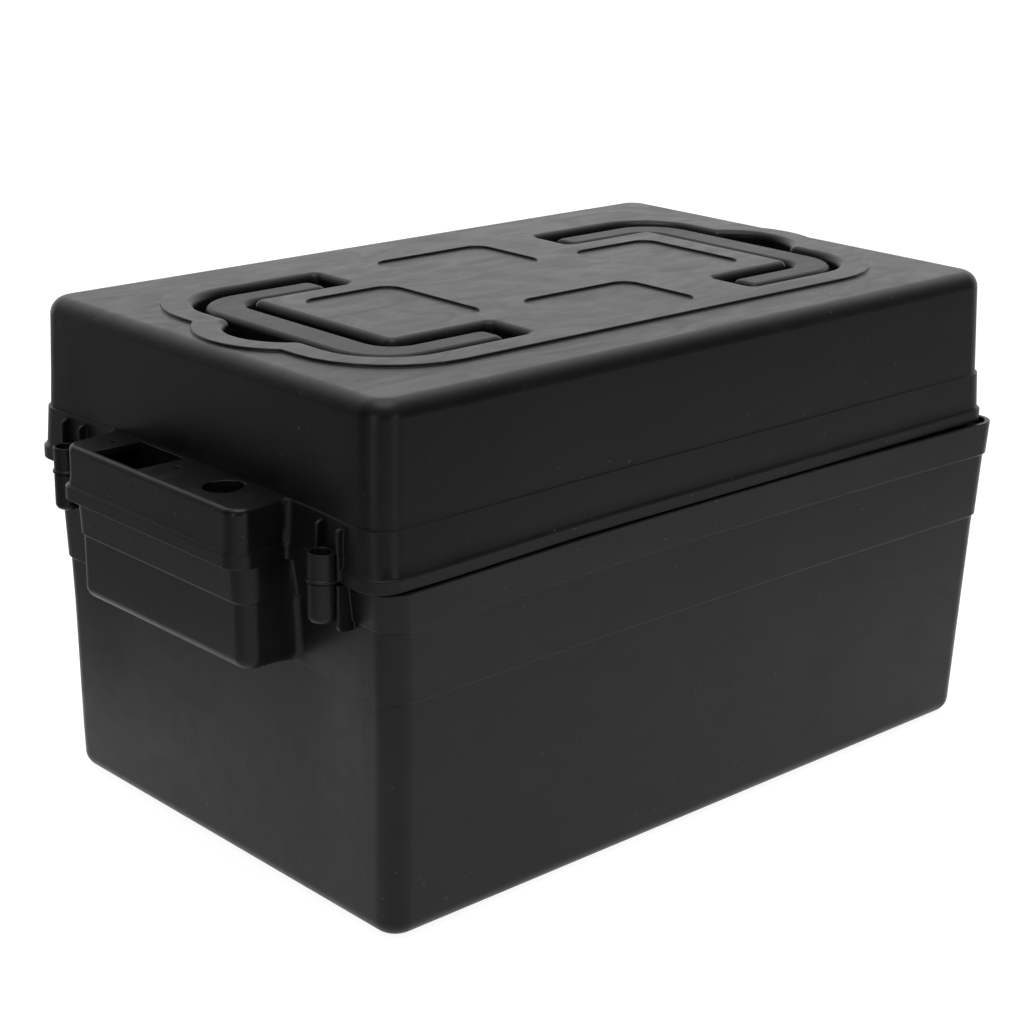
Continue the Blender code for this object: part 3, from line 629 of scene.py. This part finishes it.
def tub_shift(x, y, z):
    """The near wall draws in at mid length and the -X wall leans in, as cooled mouldings do."""
    up = min(z / BAND_Z, 1.0)
    along_wall = 1.0 - min(abs(x) / RIM[0], 1.0) ** 2
    bow = fade(-y, *NEAR_STRIP) * up * (TUB_DRAW_IN * along_wall - TUB_CORNER_OUT)
    end = fade(x, *TUB_END_OUTSIDE) * fade(-x, *TUB_END_INSIDE)
    lean = mix(TUB_LEAN_NEAR, TUB_LEAN_MIDDLE, fade(y, *TUB_LEAN_RISE))
    lean = mix(lean, TUB_LEAN_FAR, fade(y, *TUB_LEAN_FALL))
    height = smooth(z / LINE_Z) * mix(1.0, TUB_RIM_SHARE, fade(z, BAND_Z, TUB_RIM_BLEND))
    far_left = fade(y, *TUB_FAR_Y) * fade(-x, *TUB_FAR_X)
    sag = SAG * near_left(x, y) * up ** 4
    return lean * end * height, bow - TUB_FAR_IN * up * far_left, -sag


def wire_slot():
    """Cutter of the slot, open at the rim, that lets wires out of the tub into the trough."""
    outline = arc(0.0, WIRE_SLOT_Z, WIRE_SLOT_RADIUS, 180.0, 360.0, 16)
    outline += [(WIRE_SLOT_RADIUS, RIM_Z + OVER), (-WIRE_SLOT_RADIUS, RIM_Z + OVER)]
    return reordered(lofts("cutter", [(x, outline) for x in WIRE_SLOT_X]), (2, 0, 1))


def build_tub():
    tub = lofts("tub_shell", [tub_level(z) for z in tub_heights()])
    combine(tub, lofts("cutter", tub_hollow(), trough_hollow()), "DIFFERENCE")
    combine(tub, wire_slot(), "DIFFERENCE")
    warp(tub, tub_shift)
    bores = [flared_bore(x, y, INSERT_BORE, INSERT_BORE_Z, RIM_Z) for x, y, _ in SCREWS]
    combine(tub, lofts("cutter", *bores), "DIFFERENCE")
    return finish_surface(tub)


def build_gasket():
    """The foam seal on the ledge, following the drawn-in rim."""
    low, high = box_mm("rim_gasket")
    outer = grown(COLLAR_INNER, -GASKET_GAP)
    inner = grown(outer, -GASKET_WIDTH)
    around = plain_outline(outer, GASKET_OUTER_CORNER)
    inside = plain_outline(inner, GASKET_INNER_CORNER)
    gasket = lofts("foam_seal", [(low[2], around), (high[2], around)])
    hollow = lofts("cutter", [(low[2] - OVER, inside), (high[2] + OVER, inside)])
    combine(gasket, hollow, "DIFFERENCE")
    warp(gasket, tub_shift)
    return finish_surface(gasket)


# ---------------------------- cover
COVER_STATIONS = [
    (FLANGE_Z, FLANGE), *[(FLANGE_TOP_Z - drop, grown(FLANGE, -inset)) for drop, inset in SHOULDER],
    (FLANGE_TOP_Z + SHOULDER_RISE, SKIRT_BELOW),
    (STEP_Z, SKIRT_ABOVE), (STEP_Z + STEP_RISE, STEP_ABOVE), (TOP_Z, TOP)]


def hood_profile(z, wall_x):
    """Profile of the hood over the trough, with a skirt at its foot."""
    if z > HOOD_TOP_Z:
        return chamber(HOOD_HALF_Y, 0.0, HOOD_ROUND)
    skirt = HOOD_SKIRT * (1.0 - fade(z, FLANGE_TOP_Z - SKIRT_FROM, SKIRT_RISE))
    inset = inset_near(HOOD_TOP_Z - z, HOOD_ROUND) + inset_near(z - FLANGE_Z, RIM_ROUND)
    return chamber(HOOD_HALF_Y, -HOOD_X - wall_x, inset - skirt)


def cover_fastening(sign, y, z, wall_x):
    """Profile of one screw boss with its ribs, at a height on the cover's end wall."""
    boss_x = abs(BOSS_X[sign])
    lip = BOSS_LIP * (1.0 - fade(z, BOSS_LIP_Z - BOSS_LIP_ROUND, 2.0 * BOSS_LIP_ROUND))
    inset = inset_near(BOSS_TOP_Z - z, BOSS_EDGE) - lip
    half = BOSS_RADIUS - (inset if z <= BOSS_TOP_Z else BOSS_EDGE)
    reach = boss_x + half - wall_x if z <= BOSS_TOP_Z else 0.0
    rib_inset = inset_near(COVER_RIB_TOP_Z - z, RIB_ROUND)
    rib = boss_x - RIB_IN - rib_inset - wall_x if BOSS_LIP_Z < z <= COVER_RIB_TOP_Z else 0.0
    return fastening(y, half, max(reach, 0.0), max(rib, 0.0), half)


def cover_ends(z, reach_x):
    """Profiles of the cover's end walls, its middle being off the world's."""
    return end_walls(z, reach_x - COVER_CENTRE[0], reach_x + COVER_CENTRE[0],
                     cover_fastening, hood_profile)


def cover_level(z):
    half = wall_at(z, COVER_STATIONS)
    inset = inset_near(TOP_Z - z, TOP_ROUND) + inset_near(z - FLANGE_Z, RIM_ROUND)
    return z, wall_outline(grown(half, -inset), COVER_CORNER - inset, COVER_CENTRE,
                           *cover_ends(z, half[0] - inset))


def cover_heights():
    events = round_below(TOP_Z, TOP_ROUND, 10) + round_above(FLANGE_Z, RIM_ROUND, 3)
    events += round_below(HOOD_TOP_Z, HOOD_ROUND) + face_at(HOOD_TOP_Z + FLAT)
    events += round_below(BOSS_TOP_Z, BOSS_EDGE, 3) + face_at(BOSS_TOP_Z + FLAT)
    events += [BOSS_LIP_Z + BOSS_LIP_ROUND / 2.0 * i for i in range(-2, 3)]
    events += round_below(COVER_RIB_TOP_Z, RIB_ROUND, 5) + face_at(COVER_RIB_TOP_Z + FLAT)
    return level_heights(COVER_STATIONS, events)


def tongue_levels():
    """The tongue below the flange: bare walls with the flange's point count."""
    bare = [[(y, 0.0) for y, _ in end] for end in cover_ends(FLANGE_Z, FLANGE[0])]
    outline = wall_outline(TONGUE_OUTER, TONGUE_CORNER, COVER_CENTRE, *bare)
    return [(TONGUE_Z, outline), (FLANGE_Z - FLAT, outline)]


def cover_hollow():
    """Cutter of the inside, from below the tongue up to the rounded ceiling."""
    def outline(half, corner):
        return plain_outline(half, corner, COVER_CENTRE)
    tongue = outline(grown(TONGUE_OUTER, -TONGUE_THICKNESS), TONGUE_INNER_CORNER)
    levels = [
        (TONGUE_Z - OVER, tongue), (FLANGE_Z - FLAT, tongue),
        (FLANGE_TOP_Z - SKIRT_HOLLOW_DROP, tongue),
        (FLANGE_TOP_Z + WALL, outline(grown(SKIRT_BELOW, -WALL), COVER_INNER_CORNER)),
        (STEP_Z, outline(grown(STEP_ABOVE, -WALL), COVER_INNER_CORNER))]
    for rise, inset in reversed(quarter(CEILING_ROUND)):
        ceiling = outline(grown(TOP, -WALL - inset), COVER_INNER_CORNER - inset)
        levels.append((TOP_Z - WALL - rise, ceiling))
    return levels


def hood_hollow():
    def outline(back_x):
        return block(HOOD_X + CHAMBER_WALL, back_x, HOOD_HALF_Y - CHAMBER_WALL,
                     CHAMBER_CORNER - CHAMBER_WALL)
    return [
        (FLANGE_Z - OVER, outline(HOLLOW_FOOT_X)),
        (FLANGE_TOP_Z + HOLLOW_STEP_LOW, outline(HOLLOW_FOOT_X)),
        (FLANGE_TOP_Z + HOLLOW_STEP_HIGH, outline(HOLLOW_X)),
        (HOOD_TOP_Z - CHAMBER_WALL, outline(HOLLOW_X))]


def deck_levels():
    """The raised part of the lid, flared at its foot and rounded at its edge."""
    levels = [(TOP_Z - OVER, deck_outline(DECK_FOOT))]
    levels += [(TOP_Z + DECK_FOOT - rise, deck_outline(flare))
               for rise, flare in reversed(flare_steps(DECK_FOOT))]
    levels += [(DECK_Z - rise, deck_outline(-inset))
               for rise, inset in reversed(quarter(DECK_EDGE, 5))]
    return levels


def pocket_levels(sign):
    """Cutter of one pocket, with a rounded foot and a widely rounded rim."""
    floor = DECK_Z - POCKET_DEPTH
    levels = [(floor + rise, pocket_outline(sign, -inset))
              for rise, inset in quarter(POCKET_FOOT, 4)]
    levels += [(DECK_Z - POCKET_EDGE + rise, pocket_outline(sign, flare))
               for rise, flare in flare_steps(POCKET_EDGE, 8)]
    return levels + [(DECK_Z + OVER, pocket_outline(sign, POCKET_EDGE))]


def housing_levels(sign):
    """Solid around one pocket, below the lid."""
    low = DECK_Z - POCKET_DEPTH - POCKET_WALL
    levels = [(low + rise, pocket_outline(sign, POCKET_WALL - inset))
              for rise, inset in quarter(HOUSING_ROUND, 3)]
    return levels + [(TOP_Z - WALL + OVER, pocket_outline(sign, POCKET_WALL))]


def panel_levels(cx, cy, half_x, half_y):
    """Cutter of one shallow sunk panel in the lid."""
    centre = (cx + COVER_CENTRE[0], cy + COVER_CENTRE[1])

    def outline(grow):
        return rounded_rect(half_x + grow, half_y + grow, PANEL_CORNER + grow, centre, 10)
    floor = DECK_Z - PANEL_DEPTH
    levels = [(floor + rise, outline(-inset)) for rise, inset in quarter(PANEL_FOOT, 3)]
    levels += [(DECK_Z - PANEL_EDGE + rise, outline(flare))
               for rise, flare in flare_steps(PANEL_EDGE)]
    return levels + [(DECK_Z + OVER, outline(PANEL_EDGE))]


def switch_levels():
    """Cutter of the switch opening in the hood."""
    def outline(grow):
        return rounded_rect(SWITCH_HALF[0] + grow, SWITCH_HALF[1] + grow, SWITCH_CORNER + grow,
                            (SWITCH_X, SWITCH_Y), 4)
    edge = SMALL_HOLE_EDGE
    levels = [(HOOD_TOP_Z - CHAMBER_WALL - OVER, outline(0.0))]
    levels += [(HOOD_TOP_Z - edge + rise, outline(flare)) for rise, flare in flare_steps(edge)]
    return levels + [(HOOD_TOP_Z + OVER, outline(edge))]


def pin_bores(signs, inner_y, outer_y):
    """Cutter for the hinge pins: a bore from inner_y to outer_y on each side of each handle."""
    bores = []
    for sign in signs:
        for side in (-1, 1):
            near, far = sorted((side * inner_y, side * outer_y))
            outline = ring(PIN_Z, sign * PIN_X + COVER_CENTRE[0], PIN_RADIUS + GAP, 24)
            bores.append([(y + COVER_CENTRE[1], outline) for y in (near, far)])
    return reordered(lofts("cutter", *bores), (1, 2, 0))


def cover_shift(x, y, z):
    """Below the lid the -X wall bows in, the near corner flares and the hood stands askew."""
    down = min(max(TOP_Z - TOP_ROUND - z, 0.0) / (TOP_Z - TOP_ROUND - FLANGE_TOP_Z), 1.0)
    across = abs(y - COVER_CENTRE[1])
    end = fade(x, *COVER_END_OUTSIDE) * fade(-x, *COVER_END_INSIDE)
    bow = COVER_BOW * smooth((COVER_BOW_HALF - across) / COVER_BOW_BLEND)
    bow *= min(down / COVER_BOW_FULL, 1.0) * end
    far_left = fade(y, *COVER_FAR_Y) * fade(-x, *COVER_FAR_X) * min(down / COVER_FAR_FULL, 1.0)
    flare = COVER_FLARE * near_left(x, y) * down ** 2
    along_wall = 1.0 - min(abs(x) / TOP[0], 1.0) ** 2
    middle = COVER_DRAW_IN * fade(-y, *NEAR_STRIP) * along_wall * down
    dx, dy = bow + COVER_FAR_IN * far_left, middle - flare - COVER_FAR_IN * far_left
    dz = -SAG * near_left(x, y) * fade(down, *COVER_SAG_DOWN)
    if z < FLANGE_Z - FLAT / 2.0:
        dx += TONGUE_IN[0] * fade(-x, *TONGUE_IN_X)
        dy -= TONGUE_IN[1] * fade(y, *TONGUE_IN_Y)
    if x < HOLLOW_FOOT_X:
        out = fade(-x, -HOLLOW_FOOT_X, HOOD_BLEND)
        dy -= HOOD_NEAR_OUT * fade(-y, *HOOD_SIDE) * fade(y, *HOOD_NEAR_END) * out
        above = fade(z, FLANGE_TOP_Z, HOOD_RISE)
        dy -= HOOD_FAR_IN * fade(y, *HOOD_SIDE) * fade(-y, *HOOD_FAR_END) * out * above
    return dx, dy, dz


def build_cover():
    cover = lofts("cover_moulding", tongue_levels() + [cover_level(z) for z in cover_heights()])
    combine(cover, lofts("deck", deck_levels()), "UNION")
    combine(cover, lofts("cutter", cover_hollow(), hood_hollow()), "DIFFERENCE")
    combine(cover, lofts("housing", housing_levels(-1), housing_levels(1)), "UNION")
    cutters = [pocket_levels(-1), pocket_levels(1), switch_levels()]
    for sign in (-1, 1):
        for cx, cy, half_x, half_y in (END_PANEL, SIDE_PANEL):
            cutters.append(panel_levels(sign * cx, sign * cy, half_x, half_y))
    below = HOOD_TOP_Z - CHAMBER_WALL - OVER
    cutters.append(flared_bore(GLAND_X, GLAND_Y, GLAND_RADIUS, below, HOOD_TOP_Z))
    for y in SWITCH_SCREWS_Y:
        cutters.append(flared_bore(SWITCH_SCREW_X, y, SWITCH_SCREW_RADIUS, below, HOOD_TOP_Z,
                                   SMALL_HOLE_EDGE))
    combine(cover, lofts("cutter", *cutters), "DIFFERENCE")
    warp(cover, cover_shift)
    heads = [flared_bore(x, y, HEAD_BORE, BOSS_FLOOR_Z, BOSS_TOP_Z) for x, y, _ in SCREWS]
    combine(cover, lofts("cutter", *heads), "DIFFERENCE")
    shanks = [[(z, ring(x, y, SHANK_BORE, 24)) for z in (FLANGE_Z - OVER, BOSS_FLOOR_Z + OVER)]
              for x, y, _ in SCREWS]
    combine(cover, lofts("cutter", *shanks), "DIFFERENCE")
    pins = pin_bores((-1, 1), ISLAND_HALF_Y - PIN_BORE_PAST_POCKET,
                     POCKET_HALF_Y + PIN_BORE_PAST_POCKET)
    combine(cover, pins, "DIFFERENCE")
    return finish_surface(cover)


# ---------------------------- handles
def build_handle(name, cad_node, sign):
    """One drop handle, lying flat in its pocket."""
    low, high = box_mm(cad_node)
    levels = [(low[2] + rise, handle_outline(sign, inset))
              for rise, inset in quarter(HANDLE_LOW_ROUND, 4)]
    levels += [(high[2] - rise, handle_outline(sign, inset))
               for rise, inset in reversed(quarter(HANDLE_TOP_ROUND, 8))]
    handle = lofts(name, levels)
    pins = pin_bores((sign,), HANDLE_INNER_Y - PIN_BORE_PAST_ARM,
                     HANDLE_OUTER_Y + PIN_BORE_PAST_ARM)
    combine(handle, pins, "DIFFERENCE")
    return finish_surface(handle)


# ---------------------------- materials
PLASTIC_LEVEL, FOAM_LEVEL = 0.19, 0.25
BOX_GREY, HANDLE_GREY, SCUFF_GREY = (0.004, 0.004, 0.0042), (0.005, 0.005, 0.0053), (0.09,) * 3
FOAM_DARK, FOAM_LIGHT, FOAM_ROUGHNESS = (0.010,) * 3, (0.03,) * 3, (0.8, 0.95)
STEEL_DARK, STEEL_LIGHT = (0.45, 0.46, 0.47), (0.62, 0.62, 0.63)
BRASS_DARK, BRASS_LIGHT = (0.50, 0.36, 0.15), (0.70, 0.52, 0.25)
SMOOTHER, ROUGHER = 0.08, 0.12
DARKER, LIGHTER = 0.8, 1.25
SCUFF_FROM, SCUFF_STRENGTH = (0.78, 0.82), 0.5
MIDDLE_FROM = (0.3, 0.7)


def node(tree, kind, **values):
    made = tree.nodes.new(kind)
    for key, value in values.items():
        setattr(made, key, value)
    return made


def wire(tree, value, socket):
    """Feeds a socket from a number, a colour or another node's output."""
    if isinstance(value, bpy.types.NodeSocket):
        tree.links.new(value, socket)
    else:
        socket.default_value = value


def scaled(tree, coordinates, scale):
    """Coordinates stretched by a scale vector."""
    mapping = node(tree, "ShaderNodeMapping")
    mapping.inputs["Scale"].default_value = scale
    tree.links.new(coordinates, mapping.inputs["Vector"])
    return mapping.outputs["Vector"]


def noise(tree, coordinates, scale, detail=3.0, roughness=0.5, distortion=0.0):
    made = node(tree, "ShaderNodeTexNoise")
    for key, value in (("Scale", scale), ("Detail", detail), ("Roughness", roughness),
                       ("Distortion", distortion), ("Vector", coordinates)):
        wire(tree, value, made.inputs[key])
    return made.outputs["Fac"]


def ranged(tree, value, to, over=(0.0, 1.0), kind="LINEAR"):
    """A value taken from one range to another, and held at its ends."""
    made = node(tree, "ShaderNodeMapRange", clamp=True, interpolation_type=kind)
    for key, number in zip(("From Min", "From Max", "To Min", "To Max"), (*over, *to)):
        made.inputs[key].default_value = number
    tree.links.new(value, made.inputs["Value"])
    return made.outputs["Result"]


def maths(tree, operation, a, b):
    made = node(tree, "ShaderNodeMath", operation=operation)
    for socket, value in zip(made.inputs, (a, b)):
        wire(tree, value, socket)
    return made.outputs["Value"]


def bumped(tree, height, distance, strength, below=None):
    """Surface relief of a height in metres, on top of the relief below it."""
    made = node(tree, "ShaderNodeBump")
    made.inputs["Distance"].default_value = distance
    made.inputs["Strength"].default_value = strength
    tree.links.new(height, made.inputs["Height"])
    if below is not None:
        tree.links.new(below, made.inputs["Normal"])
    return made.outputs["Normal"]


def tinted(tree, value, low, high, places=MIDDLE_FROM):
    """A colour that runs from low to high between two places of a value."""
    made = node(tree, "ShaderNodeValToRGB")
    for element, place, colour in zip(made.color_ramp.elements, places, (low, high)):
        element.position = place
        element.color = (*colour, 1.0)
    tree.links.new(value, made.inputs["Fac"])
    return made.outputs["Color"]


def along(tree, vector, direction):
    """How far a vector reaches in a direction."""
    made = node(tree, "ShaderNodeVectorMath", operation="DOT_PRODUCT")
    made.inputs[1].default_value = direction
    tree.links.new(vector, made.inputs[0])
    return made.outputs["Value"]


def fresh_material(name, metallic=0.0, level=0.5):
    """A material with its node tree, its shader and the piece's own coordinates."""
    made = bpy.data.materials.new(name)
    made.use_nodes = True
    shader = made.node_tree.nodes["Principled BSDF"]
    shader.inputs["Metallic"].default_value = metallic
    shader.inputs["Specular IOR Level"].default_value = level
    coordinates = node(made.node_tree, "ShaderNodeTexCoord").outputs["Object"]
    return made, made.node_tree, shader, coordinates


def looks(tree, shader, colour, roughness, normal=None):
    """Sets the shader's colour, roughness and relief."""
    wire(tree, colour, shader.inputs["Base Color"])
    wire(tree, roughness, shader.inputs["Roughness"])
    if normal is not None:
        wire(tree, normal, shader.inputs["Normal"])


def moulded_plastic(name, grey, roughness, flow):
    """Black moulded plastic: fine grain, slow waves, flow marks and a few pale scuffs."""
    made, tree, shader, place = fresh_material(name, level=PLASTIC_LEVEL)
    drift = noise(tree, scaled(tree, place, (1.0, 1.6, 2.2)),
                  scale=9.0, detail=4.0, roughness=0.55, distortion=1.4)
    swirl = noise(tree, scaled(tree, place, (1.0, 2.4, 2.4)),
                  scale=16.0, detail=5.0, roughness=0.6, distortion=2.6)
    grain = noise(tree, place, scale=2600.0, detail=2.0)
    waves = noise(tree, place, scale=11.0, detail=2.0, roughness=0.4)
    specks = noise(tree, place, scale=420.0, detail=1.0, roughness=0.4)
    scuffed = node(tree, "ShaderNodeMix", data_type="RGBA")
    marks = maths(tree, "MULTIPLY", ranged(tree, specks, (0.0, 1.0), SCUFF_FROM), SCUFF_STRENGTH)
    tone = tinted(tree, drift, [v * DARKER for v in grey], [v * LIGHTER for v in grey])
    for key, value in (("Factor", marks), ("A", tone), ("B", (*SCUFF_GREY, 1.0))):
        wire(tree, value, scuffed.inputs[key])
    gloss = ranged(tree, swirl, (roughness - flow, roughness + flow), MIDDLE_FROM)
    slow = bumped(tree, waves, distance=0.0012, strength=0.35)
    flowing = bumped(tree, swirl, distance=0.00025, strength=0.25, below=slow)
    fine = bumped(tree, grain, distance=0.00003, strength=0.5, below=flowing)
    looks(tree, shader, scuffed.outputs["Result"], gloss, fine)
    return made


def foam_rubber(name):
    """Closed-cell foam: fine cells, rough all over."""
    made, tree, shader, place = fresh_material(name, level=FOAM_LEVEL)
    cells = noise(tree, place, scale=900.0, roughness=0.6)
    looks(tree, shader, tinted(tree, cells, FOAM_DARK, FOAM_LIGHT),
          ranged(tree, cells, FOAM_ROUGHNESS), bumped(tree, cells, distance=0.0003, strength=0.6))
    return made


def worked_metal(name, dark, light, roughness):
    """Plated or turned metal with fine marks around the piece and slight tarnish."""
    made, tree, shader, place = fresh_material(name, metallic=1.0)
    marks = noise(tree, scaled(tree, place, (1.0, 1.0, 12.0)), scale=500.0, roughness=0.6)
    stain = noise(tree, place, scale=120.0)
    looks(tree, shader, tinted(tree, stain, dark, light),
          ranged(tree, marks, (roughness - SMOOTHER, roughness + ROUGHER)),
          bumped(tree, marks, distance=0.00004, strength=0.4))
    return made


def painted_glow_table(name):
    """White table whose surface glows as painted light, dimmer off to two sides out of view."""
    made, tree, shader, place = fresh_material(name, level=0.0)
    fibres = noise(tree, place, scale=40.0)
    paper = tinted(tree, fibres, (TABLE_GREY,) * 3, (TABLE_GREY + FIBRE_GREY,) * 3, (0.0, 1.0))
    looks(tree, shader, paper, TABLE_ROUGHNESS)
    # Painted light: the glow is an emission of the table's own surface, dimmed by place, not a
    # lamp.
    glow = TABLE_GLOW
    for way, over, least in TABLE_SIDES:
        dimmed = ranged(tree, along(tree, place, way), (1.0, least), over, "SMOOTHSTEP")
        glow = maths(tree, "MULTIPLY", dimmed, glow)
    shader.inputs["Emission Color"].default_value = WHITE
    tree.links.new(glow, shader.inputs["Emission Strength"])
    return made


def dressed(thing, made_of, body, slot, *nodes):
    """Material, body and the CAD nodes that a piece stands for; slot is not used."""
    thing.data.materials.clear()
    thing.data.materials.append(made_of)
    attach(thing, body)
    if nodes:
        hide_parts(*nodes)
    return thing


# ---------------------------- studio, in metres
WHITE = (1.0, 1.0, 1.0, 1.0)
TABLE_GREY, FIBRE_GREY, TABLE_ROUGHNESS, TABLE_GLOW = 0.25, 0.02, 0.9, 0.92
TABLE_RADIUS, TABLE_BELOW = 1.5, 0.0004
# Each side: direction, where the dimming starts and ends along it, and the least glow.
TABLE_SIDES = [
    ((-0.865, 0.5, 0.0), (0.27, 0.46), 0.15), ((0.582, -0.813, 0.0), (0.26, 0.8), 0.45)]
BEHIND, WORLD_EDGE = (0.66, 0.75, 0.0), (0.2, 0.6)
OVERHEAD, OVERHEAD_EDGE = (0.0, 0.0, 1.0), (0.4, 0.95)
WORLD_FRONT, WORLD_BACK, WORLD_TOP = 0.10, 1.35, 0.6
# Each light: name, place, target, size and power in watts.
SOFTBOXES = [
    ("top_softbox", (-0.1, -0.1, 1.7), (0.0, 0.0, 0.1), (1.0, 1.0), 13.0),
    ("left_softbox", (-1.5, -0.55, 0.42), (-0.2, -0.12, 0.15), (0.22, 0.8), 3.0),
    ("right_softbox", (-0.15, -1.7, 0.42), (-0.2, -0.12, 0.15), (0.22, 0.8), 3.0)]
CAMERA_AZIMUTH, CAMERA_ELEVATION, CAMERA_ROLL = -42.628, 18.366, 0.812
CAMERA_PLACE, CAMERA_LENS, CAMERA_SENSOR = (-0.7569, -0.8050, 0.4912), 79.52, 36.0


def build_camera():
    """The camera of the catalogue view: a long lens, above and to the left of the near corner."""
    azimuth, elevation, roll = (
        math.radians(a) for a in (CAMERA_AZIMUTH, CAMERA_ELEVATION, CAMERA_ROLL))
    back = Vector((math.sin(azimuth) * math.cos(elevation),
                   -math.cos(azimuth) * math.cos(elevation), math.sin(elevation)))
    right = Vector((0.0, 0.0, 1.0)).cross(back).normalized()
    up = back.cross(right)
    turned = Matrix((right * math.cos(roll) + up * math.sin(roll),
                     up * math.cos(roll) - right * math.sin(roll), back)).transposed()
    data = bpy.data.cameras.new("camera")
    data.lens, data.sensor_width = CAMERA_LENS, CAMERA_SENSOR
    camera = linked("camera", data)
    camera.matrix_world = Matrix.Translation(CAMERA_PLACE) @ turned.to_4x4()
    bpy.context.scene.camera = camera


def area_light(name, place, target, size, power):
    data = bpy.data.lights.new(name, "AREA")
    data.shape = "RECTANGLE"
    data.size, data.size_y = size
    data.energy = power
    light = linked(name, data)
    light.location = place
    aim = Vector(target) - Vector(place)
    light.rotation_euler = aim.to_track_quat("-Z", "Y").to_euler()


def build_world():
    """Soft white surroundings: bright behind the box, softer overhead, dark on the near side."""
    world = bpy.data.worlds.new("studio")
    bpy.context.scene.world = world
    world.use_nodes = True
    tree = world.node_tree
    direction = node(tree, "ShaderNodeTexCoord").outputs["Generated"]
    behind = ranged(tree, along(tree, direction, BEHIND), (WORLD_FRONT, WORLD_BACK),
                    WORLD_EDGE, "SMOOTHSTEP")
    overhead = ranged(tree, along(tree, direction, OVERHEAD), (0.0, WORLD_TOP),
                      OVERHEAD_EDGE, "SMOOTHSTEP")
    surroundings = tree.nodes["Background"].inputs
    tree.links.new(maths(tree, "ADD", behind, overhead), surroundings["Strength"])
    surroundings["Color"].default_value = WHITE


def build_table():
    bm = bmesh.new()
    bmesh.ops.create_circle(bm, cap_ends=True, segments=96, radius=TABLE_RADIUS)
    table = solid("table", bm)
    if table.data.polygons[0].normal.z < 0.0:
        table.data.flip_normals()
    table.location.z = -TABLE_BELOW
    table.data.materials.append(painted_glow_table("white_table_painted_glow"))


def build_studio():
    bpy.context.scene.view_settings.view_transform = "Standard"
    build_world()
    build_table()
    for softbox in SOFTBOXES:
        area_light(*softbox)


# ---------------------------- the whole
def main():
    box_plastic = moulded_plastic("box_black", BOX_GREY, roughness=0.38, flow=0.05)
    handle_plastic = moulded_plastic("handle_black", HANDLE_GREY, roughness=0.46, flow=0.03)
    rubber = foam_rubber("black_foam")
    steel = worked_metal("plated_steel", STEEL_DARK, STEEL_LIGHT, roughness=0.34)
    brass = worked_metal("turned_brass", BRASS_DARK, BRASS_LIGHT, roughness=0.36)

    dressed(build_tub(), box_plastic, "tub", "box_plastic", "base_tub")
    dressed(build_cover(), box_plastic, "cover", "box_plastic", "cover_shell")
    for side, sign in (("left", -1), ("right", 1)):
        handle = build_handle(side + "_grip", side + "_handle", sign)
        dressed(handle, handle_plastic, side + "_drop_handle", "handle_plastic", side + "_handle")

    dressed(build_gasket(), rubber, "tub", "seal_rubber", "rim_gasket")
    kept = {}
    for side in ("left", "right"):
        for end in ("near", "far"):
            kept[f"{side}_{end}_pin"] = steel
    for number in range(1, 5):
        kept[f"base_insert_{number}"] = brass
        kept[f"seal_washer_{number}"] = rubber
        kept[f"cover_screw_{number}"] = steel
    for name, made_of in kept.items():
        for slot in frame["nodes"][name].material_slots:
            slot.material = made_of
    build_studio()
    build_camera()


main()
